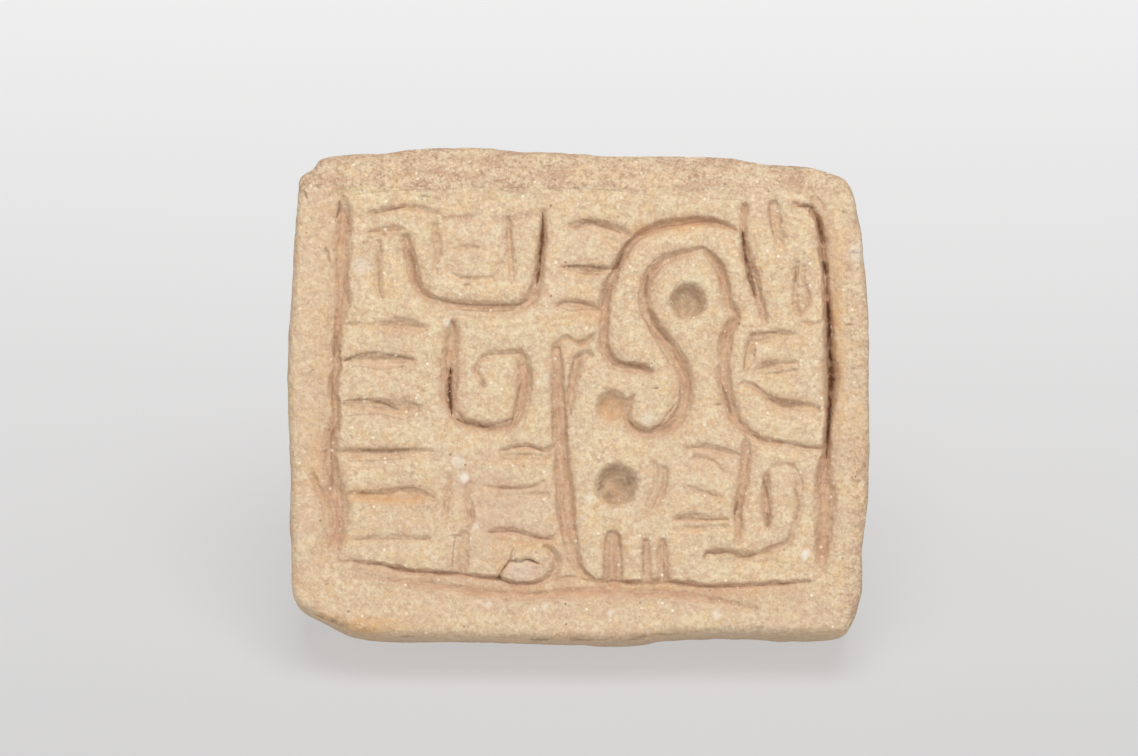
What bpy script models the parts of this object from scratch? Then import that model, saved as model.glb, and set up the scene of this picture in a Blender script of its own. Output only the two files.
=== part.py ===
"""A flat stamp of fired clay: a thick slab, carved on its face, with a stem handle behind.

Slab and handle are one lump of clay, so they are one object. The stamp leans back, at rest on
the lower edge of its slab and on the tip of its handle.

Lengths are in metres. The stamp is modelled in its own face frame and then leaned back:
X runs to the right, Y up the face, and Z out of the face, whose plane is Z = 0.
"""

import math

import bmesh
import bpy
import numpy as np
from mathutils import Matrix

MM = 0.001

# The slab
FACE_WIDTH = 76 * MM
FACE_HEIGHT = 64 * MM
SLAB_THICKNESS = 16 * MM
EDGE_ROUND = 2.4 * MM
EDGE_ROUND_STEPS = 3

# The plain border around the carved panel
BORDER_LEFT = 7.1 * MM
BORDER_RIGHT = 4.9 * MM
BORDER_TOP = 4.6 * MM
BORDER_BOTTOM = 7.7 * MM
TOP_BORDER_SLOPE = math.radians(14)

# The handle, a stem rolled between finger and thumb
HANDLE_LENGTH = 33 * MM
HANDLE_ROOT_RADIUS = 12.5 * MM
HANDLE_WAIST_RADIUS = 8.4 * MM
HANDLE_TIP_RADIUS = 10 * MM
HANDLE_TIP_ROUND = 3.5 * MM
HANDLE_FLARE = 9 * MM
HANDLE_DROP = 2 * MM
HANDLE_OVERLAP = 3 * MM
HANDLE_SIDES = 28
HANDLE_ROUND_STEPS = 5
HANDLE_STEM_STEPS = 3

# How far the lower edge and the handle's tip are worn flat where they touch what they rest on
REST_WEAR = 0.4 * MM

# The tools' marks
GROOVE_DEPTH = 1.5 * MM
DASH_DEPTH = 1.15 * MM
SHALLOW_DEPTH = 0.65 * MM
CRACK_DEPTH = 0.9 * MM
PUNCH_DEPTH = 2.2 * MM
WORN_WIDTH = 0.35 * MM

# A mark's own shape: a stroke runs out to a share of its width at its ends, and every tool
# stands a share of its depth proud of the face
STROKE_END = 0.5
TOOL_PROUD = 0.06
COMB_SWELL = (0.4, 0.75, 1, 0.8)
TUFT_SWELL = (0.6, 1, 0.7)

# The groove around the panel: a steep wall on the panel's side, and a border that falls to it
EDGE_DEPTH = 1.5 * MM
EDGE_WALL = 0.5 * MM
EDGE_FLOOR = 0.5 * MM
EDGE_FALL = 2.6 * MM
EDGE_HOLLOW = 0.38

# How finely the curves are drawn: the longest span, and the most that one span turns
OUTLINE_SPAN = 4 * MM
STROKE_SPAN = 1.9 * MM
MOST_TURN = math.radians(17)
KNOT_SAMPLES = 24
TOOL_SIDES = 2
PUNCH_SIDES = 24
WELD = 0.001 * MM
HANDLE_WELD = 0.01 * MM
SHADED_SHARP = math.radians(35)

# Blocks that cut away what lies past a plane
SLOPE_BLOCK = 4 * MM
FLOOR_BLOCK = 10 * MM

# The carving is drawn on a grid of squares that fills the panel, from its lower left corner.
# Points and widths of the strokes are counted in these squares.
GRID_WIDTH = 485
GRID_HEIGHT = 392

PANEL_LEFT = BORDER_LEFT - FACE_WIDTH / 2
PANEL_BOTTOM = BORDER_BOTTOM - FACE_HEIGHT / 2
PANEL_TOP = FACE_HEIGHT / 2 - BORDER_TOP
SQUARE_X = (FACE_WIDTH - BORDER_LEFT - BORDER_RIGHT) / GRID_WIDTH
SQUARE_Y = (PANEL_TOP - PANEL_BOTTOM) / GRID_HEIGHT
SQUARE = math.sqrt(SQUARE_X * SQUARE_Y)

# The hand-cut outline of the face, in hundredths of its width and height from its centre
OUTLINE = (
    (-49.0, 34.0), (-48.3, 41.8), (-47.3, 46.6), (-45.6, 48.2), (-41.0, 49.2), (-22.0, 50.2),
    (5.0, 49.2), (27.0, 48.4), (39.0, 46.8), (44.5, 45.2), (47.3, 42.6), (48.6, 38.0),
    (49.8, 18.0), (50.0, -8.0), (49.5, -32.0), (48.6, -44.0), (46.8, -48.2), (42.0, -49.2),
    (11.0, -50.0), (-20.0, -49.6), (-39.8, -48.6), (-44.6, -45.8), (-48.4, -42.2),
    (-49.6, -38.0), (-49.9, -26.0), (-50.0, 0.0), (-49.8, 20.0),
)


def smooth_path(knots, span, closed=False):
    """Points on a smooth curve through the knots, closer together where it bends."""
    knots = np.array(knots, float)
    headings = np.roll(knots, -1, axis=0) - np.roll(knots, 1, axis=0)
    if not closed:
        headings[0] = knots[1] - knots[0]
        headings[-1] = knots[-1] - knots[-2]
    headings /= np.linalg.norm(headings, axis=1)[:, None]
    ends = np.roll(knots, -1, axis=0)
    end_headings = np.roll(headings, -1, axis=0)
    spans = list(zip(knots, headings, ends, end_headings))
    if not closed:
        spans.pop()
    t = np.linspace(0, 1, KNOT_SAMPLES, endpoint=False)[:, None]
    samples = []
    for start, leaving, end, arriving in spans:
        length = np.linalg.norm(end - start)
        samples.append(
            start * (2 * t**3 - 3 * t**2 + 1) + end * (3 * t**2 - 2 * t**3)
            + length * leaving * (t**3 - 2 * t**2 + t) + length * arriving * (t**3 - t**2)
        )
    samples.append(spans[-1][2][None])
    samples = np.vstack(samples)
    moves = np.diff(samples, axis=0)
    effort = np.linalg.norm(moves, axis=1) / span
    bearings = np.unwrap(np.arctan2(moves[:, 1], moves[:, 0]))
    effort[1:] += np.abs(np.diff(bearings)) / MOST_TURN
    effort = np.append(0, np.cumsum(effort))
    even = np.linspace(0, effort[-1], max(2, round(effort[-1])) + 1)
    path = np.column_stack([np.interp(even, effort, column) for column in samples.T])
    return path[:-1] if closed else path


def spread(values, path):
    """The values, spread evenly along the path, at each of its points."""
    run = np.append(0, np.cumsum(np.linalg.norm(np.diff(path, axis=0), axis=1)))
    return np.interp(run / run[-1], np.linspace(0, 1, len(values)), values)


def on_panel(points):
    """Grid points as points of the face."""
    return np.array(points, float) * (SQUARE_X, SQUARE_Y) + (PANEL_LEFT, PANEL_BOTTOM)


def clear_scene():
    for obj in list(bpy.data.objects):
        bpy.data.objects.remove(obj, do_unlink=True)


def new_collection(name, hidden=False):
    collection = bpy.data.collections.new(name)
    collection.hide_render = hidden
    bpy.context.scene.collection.children.link(collection)
    return collection


def new_curve(name, points, radii=None, closed=False):
    """A curve object of straight spans through the points, without a thickness yet."""
    curve = bpy.data.curves.new(name, "CURVE")
    spline = curve.splines.new("POLY")
    spline.points.add(len(points) - 1)
    for index, (x, y) in enumerate(points):
        spline.points[index].co = (x, y, 0, 1)
        spline.points[index].radius = 1 if radii is None else radii[index]
    spline.use_cyclic_u = closed
    obj = bpy.data.objects.new(name, curve)
    bpy.context.scene.collection.objects.link(obj)
    return obj


def mesh_from_curve(curve_object):
    """The curve's shape as a closed mesh. The curve is removed."""
    graph = bpy.context.evaluated_depsgraph_get()
    mesh = bpy.data.meshes.new_from_object(curve_object.evaluated_get(graph))
    mesh.transform(curve_object.matrix_world)
    bpy.data.objects.remove(curve_object, do_unlink=True)
    work = bmesh.new()
    work.from_mesh(mesh)
    bmesh.ops.remove_doubles(work, verts=work.verts, dist=WELD)
    bmesh.ops.recalc_face_normals(work, faces=work.faces)
    work.to_mesh(mesh)
    work.free()
    return mesh


def block_mesh(name, sizes, centre):
    """A rectangular block."""
    work = bmesh.new()
    bmesh.ops.create_cube(work, size=1, matrix=Matrix.Diagonal((*sizes, 1)))
    bmesh.ops.translate(work, verts=work.verts, vec=centre)
    mesh = bpy.data.meshes.new(name)
    work.to_mesh(mesh)
    work.free()
    return mesh


def add_object(name, mesh, frame, collection):
    """An object in the face frame."""
    obj = bpy.data.objects.new(name, mesh)
    obj.parent = frame
    collection.objects.link(obj)
    return obj


def add_cutter(name, mesh, frame, collection):
    cutter = add_object(name, mesh, frame, collection)
    cutter.hide_render = True
    cutter.display_type = "WIRE"
    return cutter


def fired_clay():
    """Sandy buff clay, fired without a glaze."""
    material = bpy.data.materials.new("fired buff clay")
    material.use_nodes = True
    shader = material.node_tree.nodes["Principled BSDF"]
    shader.inputs["Base Color"].default_value = (0.72, 0.54, 0.36, 1)
    shader.inputs["Roughness"].default_value = 0.9
    shader.inputs["Metallic"].default_value = 0
    return material


# Centres of the two roundings that touch the ground: of the slab's lower back edge, and of the
# lower side of the handle's tip, up the face and behind it
LOWER_EDGE_HEIGHT = EDGE_ROUND - FACE_HEIGHT / 2
LOWER_EDGE_BACK = EDGE_ROUND - SLAB_THICKNESS
HANDLE_TIP_HEIGHT = HANDLE_TIP_ROUND - HANDLE_TIP_RADIUS - HANDLE_DROP
HANDLE_TIP_BACK = HANDLE_TIP_ROUND - SLAB_THICKNESS - HANDLE_LENGTH


def resting_lean():
    """The slab's lean from upright, where lower edge and handle tip lie on one level."""
    up_face = HANDLE_TIP_HEIGHT - LOWER_EDGE_HEIGHT
    behind = LOWER_EDGE_BACK - HANDLE_TIP_BACK
    reach = math.hypot(behind, up_face)
    return math.atan2(up_face, behind) + math.asin((EDGE_ROUND - HANDLE_TIP_ROUND) / reach)


def face_frame():
    """The empty that carries the stamp, leaned back and set down with its box centred."""
    lean = resting_lean()
    up, out = math.cos(lean), math.sin(lean)
    lowest = LOWER_EDGE_HEIGHT * up + LOWER_EDGE_BACK * out - EDGE_ROUND
    front = LOWER_EDGE_HEIGHT * out + EDGE_ROUND * up - EDGE_ROUND
    upper_tip = HANDLE_TIP_RADIUS - HANDLE_TIP_ROUND - HANDLE_DROP
    rear = upper_tip * out - HANDLE_TIP_BACK * up + HANDLE_TIP_ROUND
    frame = bpy.data.objects.new("face_frame", None)
    frame.location = (0, -(front + rear) / 2, -REST_WEAR - lowest)
    frame.rotation_euler = (math.pi / 2 - lean, 0, 0)
    bpy.context.scene.collection.objects.link(frame)
    return frame


def slab_mesh():
    """The slab, cut from a rolled sheet along the outline, its edges rubbed round."""
    half = np.array((FACE_WIDTH, FACE_HEIGHT)) / 2
    outline = smooth_path(np.array(OUTLINE) / 50 * half, OUTLINE_SPAN, closed=True)
    rounding = []
    for turn in np.linspace(0, math.pi / 2, EDGE_ROUND_STEPS + 1):
        rounding.append((EDGE_ROUND * (1 - math.sin(turn)), EDGE_ROUND * (1 - math.cos(turn))))
    rings = [(inset, rise - SLAB_THICKNESS) for inset, rise in rounding]
    rings += [(inset, -rise) for inset, rise in reversed(rounding)]
    work = bmesh.new()
    loops = []
    for inset, level in rings:
        ring = outline * (1 - inset / half)
        loops.append([work.verts.new((x, y, level)) for x, y in ring])
    for lower, upper in zip(loops, loops[1:]):
        for index in range(len(lower)):
            work.faces.new((lower[index - 1], lower[index], upper[index], upper[index - 1]))
    work.faces.new(loops[0])
    work.faces.new(loops[-1])
    bmesh.ops.recalc_face_normals(work, faces=work.faces)
    mesh = bpy.data.meshes.new("slab")
    work.to_mesh(mesh)
    work.free()
    return mesh


def handle_profile():
    """The handle's outer side from its root, inside the slab, down to its tip: radius and depth."""
    root = -SLAB_THICKNESS
    waist = root - HANDLE_FLARE
    tip = root - HANDLE_LENGTH
    profile = [(0, root + HANDLE_OVERLAP), (HANDLE_ROOT_RADIUS, root + HANDLE_OVERLAP)]
    for share in np.linspace(0, 1, HANDLE_ROUND_STEPS + 1):
        ease = (1 + math.cos(math.pi * share)) / 2
        radius = HANDLE_WAIST_RADIUS + (HANDLE_ROOT_RADIUS - HANDLE_WAIST_RADIUS) * ease**2
        profile.append((radius, root - HANDLE_FLARE * share))
    stem = waist - tip - HANDLE_TIP_ROUND
    for share in np.linspace(0, 1, HANDLE_STEM_STEPS + 1)[1:-1]:
        ease = (1 - math.cos(math.pi * share)) / 2
        radius = HANDLE_WAIST_RADIUS + (HANDLE_TIP_RADIUS - HANDLE_WAIST_RADIUS) * ease
        profile.append((radius, waist - stem * share))
    for turn in np.linspace(0, math.pi / 2, HANDLE_ROUND_STEPS + 1):
        profile.append((
            HANDLE_TIP_RADIUS - HANDLE_TIP_ROUND * (1 - math.cos(turn)),
            tip + HANDLE_TIP_ROUND * (1 - math.sin(turn)),
        ))
    profile.append((0, tip))
    return profile


def add_handle(frame, collection):
    profile = handle_profile()
    mesh = bpy.data.meshes.new("handle")
    edges = [(index, index + 1) for index in range(len(profile) - 1)]
    mesh.from_pydata([(radius, 0, depth) for radius, depth in profile], edges, [])
    handle = add_cutter("handle", mesh, frame, collection)
    handle.location = (0, -HANDLE_DROP, 0)
    turn = handle.modifiers.new("turn", "SCREW")
    turn.steps = HANDLE_SIDES
    turn.render_steps = HANDLE_SIDES
    turn.use_merge_vertices = True
    turn.merge_threshold = HANDLE_WELD
    return handle


def add_top_slope(frame, collection):
    """Cuts the border above the panel back, from a crease along the panel's upper edge."""
    length = 2 * BORDER_TOP
    sizes = (2 * FACE_WIDTH, length, SLOPE_BLOCK)
    mesh = block_mesh("top_slope", sizes, (0, length / 2, SLOPE_BLOCK / 2))
    slope = add_cutter("top_slope", mesh, frame, collection)
    slope.location = (0, PANEL_TOP, 0)
    slope.rotation_euler = (-TOP_BORDER_SLOPE, 0, 0)


class Carver:
    """Makes the cutters of the carving, each one stroke of a tool."""

    def __init__(self, frame, collection):
        self.frame = frame
        self.collection = collection

    def stroke(self, name, knots, widths, depth=GROOVE_DEPTH):
        """A groove along the knots: its widths are spread evenly, and its ends run out."""
        path = smooth_path(on_panel(knots), STROKE_SPAN)
        halves = (spread(widths, path) * SQUARE + WORN_WIDTH) / 2
        halves[[0, -1]] *= STROKE_END
        curve = new_curve(name, path, halves / halves.max())
        curve.data.dimensions = "3D"
        curve.data.twist_mode = "Z_UP"
        curve.data.bevel_depth = halves.max()
        curve.data.bevel_resolution = TOOL_SIDES
        curve.data.use_fill_caps = True
        mesh = mesh_from_curve(curve)
        mesh.transform(Matrix.Diagonal((1, 1, depth / halves.max(), 1)))
        mesh.transform(Matrix.Translation((0, 0, depth * TOOL_PROUD)))
        add_cutter(name, mesh, self.frame, self.collection)

    def edge(self, name, knots, sizes):
        """The panel's edge, with the border on its right. Sizes are shares of the full size."""
        path = smooth_path(on_panel(knots), STROKE_SPAN)
        proud = EDGE_DEPTH * TOOL_PROUD
        section = new_curve(name + "_section", (
            (-EDGE_WALL, proud), (-EDGE_WALL / 2, -EDGE_DEPTH), (EDGE_FLOOR, -EDGE_DEPTH),
            ((EDGE_FLOOR + EDGE_FALL) / 2, -EDGE_DEPTH * EDGE_HOLLOW), (EDGE_FALL, proud),
        ), closed=True)
        curve = new_curve(name, path, spread(sizes, path))
        curve.data.dimensions = "3D"
        curve.data.twist_mode = "Z_UP"
        curve.data.bevel_mode = "OBJECT"
        curve.data.bevel_object = section
        curve.data.use_fill_caps = True
        mesh = mesh_from_curve(curve)
        bpy.data.objects.remove(section, do_unlink=True)
        add_cutter(name, mesh, self.frame, self.collection)

    def punch(self, name, centre, radius):
        """A round hole with a cupped floor, pressed in with the end of a reed."""
        work = bmesh.new()
        rings = PUNCH_SIDES // 2
        bmesh.ops.create_uvsphere(work, u_segments=PUNCH_SIDES, v_segments=rings, radius=1)
        wide = radius * SQUARE
        bmesh.ops.scale(work, vec=(wide, wide, PUNCH_DEPTH), verts=work.verts)
        x, y = on_panel(centre)
        bmesh.ops.translate(work, vec=(x, y, PUNCH_DEPTH * TOOL_PROUD), verts=work.verts)
        mesh = bpy.data.meshes.new(name)
        work.to_mesh(mesh)
        work.free()
        add_cutter(name, mesh, self.frame, self.collection)


def carve_panel_edge(carver):
    """The groove that frames the panel on three sides, with the border falling towards it."""
    carver.edge("panel_edge", (
        (1, 378), (1, 332), (0, 297), (-5, 255), (-7, 187), (-8, 122), (-3, 80), (0, 50), (0, 30),
        (8, 19), (59, 14), (117, 9), (162, 1), (187, -3), (207, 0), (252, 2), (302, 0),
        (387, -4), (450, 0), (471, 8), (479, 45), (480, 90), (482, 132), (485, 187), (484, 247),
        (481, 300), (478, 340), (474, 369), (468, 386),
    ), (0.2, 0.8, 0.7, 0.85, 0.8, 1, 1.1, 1, 0.9, 1, 0.9, 0.3))
    carver.stroke("edge_left_outer", ((-10, 116), (-12, 67), (-9, 26)), (4, 7, 4), DASH_DEPTH)
    carver.stroke("edge_right_deep", ((483, 150), (485, 190), (483, 250), (480, 300)), (8, 10, 8))
    carver.stroke("smear", ((436, 398), (453, 396), (464, 388), (470, 378)), (8, 9, 6), SHALLOW_DEPTH)


def carve_upper_left(carver):
    """One U inside another, with short dashes in and beside them."""
    carver.stroke("outer_u", (
        (65, 347), (70, 312), (78, 292), (90, 281), (106, 278), (155, 273), (180, 276), (191, 287),
        (198, 315), (202, 340), (201, 371),
    ), (15, 16, 14, 10, 10, 10, 12, 12, 9))
    carver.stroke("inner_u", (
        (93, 360), (94, 332), (99, 313), (112, 304), (138, 302), (153, 307), (163, 320),
        (167, 345), (166, 368),
    ), (8, 8, 6, 6, 7, 10, 9), DASH_DEPTH)
    carver.stroke("inner_u_tip", ((166, 365), (197, 365)), (9, 9), SHALLOW_DEPTH)
    carver.stroke("brow", ((29, 369), (67, 373), (103, 368)), (7, 9, 7), DASH_DEPTH)
    carver.stroke("tick_high", ((99, 364), (129, 365)), (5, 6), SHALLOW_DEPTH)
    carver.stroke("tick_low", ((109, 332), (137, 335)), (7, 6), SHALLOW_DEPTH)
    carver.stroke("hook", ((26, 336), (36, 350), (62, 353)), (6, 8, 6), SHALLOW_DEPTH)
    carver.stroke("hook_stem", ((36, 340), (37, 312), (38, 287)), (10, 10, 8), DASH_DEPTH)
    carver.stroke("dent", ((27, 326), (19, 316), (23, 303)), (7, 8, 6), SHALLOW_DEPTH)


# The comb of dashes beside the left border, from the top: height on the grid, left and right
# end, and greatest width
COMB = (
    (256, 3, 79, 15), (221, 3, 71, 17), (175, 6, 78, 20), (128, 5, 88, 13),
    (89, 8, 91, 13), (44, 12, 90, 9),
)


def carve_comb(carver):
    for index, (height, left, right, widest) in enumerate(COMB):
        swell = np.array(COMB_SWELL) * widest
        carver.stroke(f"comb_{index + 1}", ((left, height), (right, height)), swell, DASH_DEPTH)


def carve_spiral(carver):
    """The squared spiral in the middle of the left half."""
    carver.stroke("spiral", (
        (112, 252), (110, 215), (109, 186), (114, 167), (130, 157), (155, 154), (170, 163),
        (177, 184), (182, 214), (180, 224), (171, 229), (152, 229), (142, 222), (139, 202),
    ), (13, 18, 18, 13, 12, 14, 16, 8, 7, 8))


def carve_lower_left(carver):
    """Faint upright lines and dashes, and the cracked lump at the panel's edge."""
    carver.stroke("upright_left", ((107, 120), (107, 84), (104, 52)), (4, 6, 4), SHALLOW_DEPTH)
    carver.stroke("upright_right", ((125, 100), (127, 77), (127, 54)), (6, 8, 6), SHALLOW_DEPTH)
    carver.stroke("upright_slot", ((116, 46), (116, 0)), (13, 13), SHALLOW_DEPTH)
    carver.stroke("dash_high", ((157, 132), (182, 133), (214, 130)), (5, 8, 8), DASH_DEPTH)
    carver.stroke("dash_middle", ((169, 96), (183, 95), (198, 97)), (5, 6, 5), SHALLOW_DEPTH)
    carver.stroke("dash_low", ((146, 50), (165, 50), (181, 46), (210, 43)), (5, 7, 6), SHALLOW_DEPTH)
    carver.stroke("crack", ((156, 0), (159, 14), (168, 22), (183, 23), (199, 20)), (3, 4, 3),
                  CRACK_DEPTH)
    carver.stroke("crack_branch", ((168, 22), (171, 37)), (3, 3), CRACK_DEPTH)


def carve_middle(carver):
    """The long upright groove that parts the two halves, forked at its top."""
    carver.stroke("parting", (
        (214, 230), (214, 200), (217, 165), (219, 135), (222, 97), (224, 65), (228, 35),
        (234, 14), (246, -3),
    ), (9, 10, 14, 14, 16, 16, 13, 12))
    carver.stroke("parting_fork", ((257, 225), (245, 224), (236, 213), (231, 190), (222, 160)),
                  (6, 9, 10, 12), DASH_DEPTH)
    carver.stroke("parting_top", ((249, 244), (237, 238), (225, 238), (214, 228)), (6, 8, 10),
                  DASH_DEPTH)


# The three dashes behind the bird's head: both ends on the grid, and the greatest width
TUFT = (
    ((230, 356), (293, 345), 11), ((217, 314), (275, 315), 11), ((215, 277), (262, 276), 9),
)


def carve_bird(carver):
    """The bird: its outer and inner outline, eye, tuft, crest and round holes."""
    carver.stroke("head_outer", (
        (387, 358), (362, 362), (337, 361), (312, 352), (291, 340), (278, 325), (269, 305),
        (262, 280), (261, 235), (270, 221), (287, 213), (307, 212),
    ), (6, 8, 12, 13, 12, 10, 10, 13, 10))
    carver.stroke("head_inner", (
        (360, 332), (330, 325), (308, 306), (302, 282), (311, 258), (337, 228), (347, 205),
        (347, 185), (336, 165), (314, 150), (295, 152), (284, 168),
    ), (9, 11, 12, 13, 15, 16, 15, 12, 11))
    carver.stroke("head_back", (
        (358, 332), (371, 315), (378, 294), (386, 268), (387, 260), (382, 244), (378, 222),
        (380, 195), (389, 168), (402, 151), (425, 142), (480, 136),
    ), (9, 12, 11, 10, 13, 14, 13, 11, 10, 10))
    for index, (start, end, widest) in enumerate(TUFT):
        swell = np.array(TUFT_SWELL) * widest
        carver.stroke(f"tuft_{index + 1}", (start, end), swell, DASH_DEPTH)
    carver.stroke("crest", ((401, 373), (403, 345), (410, 312), (418, 278), (421, 261)),
                  (8, 9, 13, 13, 7))
    carver.stroke("crest_slot", ((432, 378), (433, 356), (436, 337)), (13, 13, 8), SHALLOW_DEPTH)
    carver.stroke("crest_oval", ((454, 320), (457, 290), (456, 266)), (7, 15, 9), DASH_DEPTH)
    carver.stroke("crest_tick", ((453, 379), (470, 376)), (6, 6), SHALLOW_DEPTH)
    carver.stroke("crest_foot", ((460, 259), (472, 257), (482, 249)), (7, 8, 7), SHALLOW_DEPTH)
    carver.stroke("beak_line", ((318, 122), (320, 105), (315, 83), (307, 65)), (8, 13, 11, 5),
                  DASH_DEPTH)
    carver.punch("eye", (345, 281), 19)
    carver.punch("hole_middle", (270, 176), 16)
    carver.punch("hole_low", (272, 98), 22)


def carve_right(carver):
    """The open ring with a bar in it beside the bird, and the hook below."""
    carver.stroke("ring", ((457, 248), (432, 249), (413, 242), (405, 226), (403, 203)),
                  (6, 10, 11, 10, 6), DASH_DEPTH)
    carver.stroke("ring_bar", ((415, 213), (447, 218)), (8, 13, 7), SHALLOW_DEPTH)
    carver.stroke("ring_foot", ((401, 197), (413, 194), (427, 183), (444, 178), (471, 175)),
                  (5, 7, 12, 12, 8), DASH_DEPTH)
    carver.stroke("hook_back", ((403, 146), (403, 115), (397, 82), (396, 42)), (9, 11, 11, 7),
                  DASH_DEPTH)
    carver.stroke("hook_sweep", (
        (360, 26), (376, 29), (409, 27), (427, 31), (443, 38), (451, 47), (453, 70), (452, 98),
        (444, 110), (428, 110), (423, 98),
    ), (7, 8, 9, 9, 9, 8, 6, 6, 6), DASH_DEPTH)
    carver.stroke("hook_slot", ((423, 105), (423, 52)), (8, 10, 8), DASH_DEPTH)
    carver.stroke("side_dash_1", ((345, 133), (370, 131), (400, 125)), (7, 12, 9), SHALLOW_DEPTH)
    carver.stroke("side_dash_2", ((345, 93), (362, 89), (380, 84)), (5, 6, 5), SHALLOW_DEPTH)
    carver.stroke("side_dash_3", ((336, 60), (394, 57)), (7, 13, 8), SHALLOW_DEPTH)


# The three slots between the toes: place along the panel's lower edge, height and width
TOES = ((270, 50, 16), (304, 33, 9), (322, 34, 9))
TOE_FOOT = -12


def carve_toes(carver):
    for index, (place, height, width) in enumerate(TOES):
        ends = ((place, height), (place, TOE_FOOT))
        carver.stroke(f"toe_{index + 1}", ends, (width, width), DASH_DEPTH)


def add_floor(collection):
    """A block whose top is the level that the stamp rests on. It cuts the worn flats."""
    sizes = (2 * FACE_WIDTH, 2 * FACE_WIDTH, FLOOR_BLOCK)
    mesh = block_mesh("rest_level", sizes, (0, 0, -FLOOR_BLOCK / 2))
    return add_cutter("rest_level", mesh, None, collection)


def add_boolean(obj, name, operation, cutter=None, cutters=None):
    boolean = obj.modifiers.new(name, "BOOLEAN")
    boolean.operation = operation
    boolean.solver = "EXACT"
    if cutters:
        boolean.operand_type = "COLLECTION"
        boolean.collection = cutters
    else:
        boolean.object = cutter


def main():
    clear_scene()
    stamp_parts = new_collection("clay_stamp")
    marks = new_collection("tool_marks", hidden=True)
    shapes = new_collection("shapes", hidden=True)
    frame = face_frame()

    stamp = add_object("stamp", slab_mesh(), frame, stamp_parts)
    stamp.data.materials.append(fired_clay())
    add_boolean(stamp, "handle", "UNION", cutter=add_handle(frame, shapes))

    carver = Carver(frame, marks)
    add_top_slope(frame, marks)
    for carve in (carve_panel_edge, carve_upper_left, carve_comb, carve_spiral, carve_lower_left,
                  carve_middle, carve_bird, carve_right, carve_toes):
        carve(carver)
    add_boolean(stamp, "carving", "DIFFERENCE", cutters=marks)
    add_boolean(stamp, "worn_flats", "DIFFERENCE", cutter=add_floor(shapes))
    stamp.data.shade_smooth()
    stamp.data.set_sharp_from_angle(angle=SHADED_SHARP)


main()
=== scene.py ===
import math

import bpy
import numpy as np
from mathutils import Matrix, Vector


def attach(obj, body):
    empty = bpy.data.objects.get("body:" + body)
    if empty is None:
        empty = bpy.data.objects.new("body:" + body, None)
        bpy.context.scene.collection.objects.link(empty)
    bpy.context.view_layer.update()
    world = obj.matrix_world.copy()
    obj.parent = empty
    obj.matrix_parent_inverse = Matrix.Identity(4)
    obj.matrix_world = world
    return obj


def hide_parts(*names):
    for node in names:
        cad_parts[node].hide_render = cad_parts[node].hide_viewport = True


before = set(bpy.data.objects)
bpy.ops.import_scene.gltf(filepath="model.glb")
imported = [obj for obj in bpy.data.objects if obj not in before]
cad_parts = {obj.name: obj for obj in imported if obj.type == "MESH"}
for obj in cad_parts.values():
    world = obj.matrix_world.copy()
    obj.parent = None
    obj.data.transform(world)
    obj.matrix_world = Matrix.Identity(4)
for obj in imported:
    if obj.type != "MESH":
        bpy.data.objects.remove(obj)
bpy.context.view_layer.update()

# The slab: a sheet of sandy clay, rolled out 16 mm thick and cut by eye into a block that is
# nearly a rectangle, its edges rubbed round with a wet finger. It is built lying on its back,
# in millimetres, with its face at height nought, and set down leaning only at the end.
THICKNESS = 16.0
EDGE_ROUND = 1.3

# Places on the face are noted on squares of 0.132 mm, counted from the lower left corner of
# the carved panel. This is where that corner lies from the middle of the slab.
SQUARE = 0.1319
PANEL_CORNER = (-30.9, -24.3)
OUTLINE = (
    (-50, -3), (-50, 27), (-51, 69), (-51, 110), (-53, 150), (-54, 200), (-53, 240), (-51, 275),
    (-50, 305), (-48, 350), (-46, 380), (-44, 398), (-41, 410), (-35, 414), (-29, 417),
    (-26, 423), (-17, 427), (-5, 430), (37, 432), (70, 436), (107, 437), (140, 437), (177, 434),
    (215, 433), (257, 430), (337, 428), (387, 427), (402, 424), (422, 421), (457, 419),
    (487, 412), (502, 404), (511, 389), (514, 372), (519, 343), (523, 300), (526, 250),
    (526, 204), (526, 132), (524, 90), (522, 69), (519, 45), (517, 28), (518, 10), (515, -15),
    (512, -29), (508, -39), (503, -47), (495, -50), (470, -51), (430, -51), (380, -50),
    (325, -52), (300, -56), (260, -57), (200, -56), (100, -54), (45, -53), (25, -51), (10, -48),
    (-2, -43), (-15, -38), (-27, -32), (-38, -26), (-45, -21), (-49, -13),
)


def smooth_path(knots, spacing, closed=False):
    """Even points along a smooth curve through the knots. Further columns are carried along."""
    knots = np.array(knots, float)
    before, after = np.roll(knots, 1, axis=0), np.roll(knots, -1, axis=0)
    headings = after[:, :2] - before[:, :2]
    if not closed:
        headings[0] = knots[1, :2] - knots[0, :2]
        headings[-1] = knots[-1, :2] - knots[-2, :2]
    headings /= np.linalg.norm(headings, axis=1)[:, None]
    samples = []
    t = np.linspace(0, 1, 24, endpoint=False)[:, None]
    for here in range(len(knots) - (not closed)):
        there = (here + 1) % len(knots)
        start, end = knots[here], knots[there]
        length = np.linalg.norm((end - start)[:2])
        bend = length * (headings[here] * (t**3 - 2 * t**2 + t) + headings[there] * (t**3 - t**2))
        flat = start[:2] * (2 * t**3 - 3 * t**2 + 1) + end[:2] * (3 * t**2 - 2 * t**3) + bend
        samples.append(np.hstack([flat, start[2:] * (1 - t) + end[2:] * t]))
    if not closed:
        samples.append(knots[-1:])
    samples = np.vstack(samples + ([samples[0][:1]] if closed else []))
    run = np.append(0, np.cumsum(np.linalg.norm(np.diff(samples[:, :2], axis=0), axis=1)))
    even = np.linspace(0, run[-1], max(2, round(run[-1] / spacing)) + 1)
    path = np.column_stack([np.interp(even, run, column) for column in samples.T])
    return path[:-1] if closed else path


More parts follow.
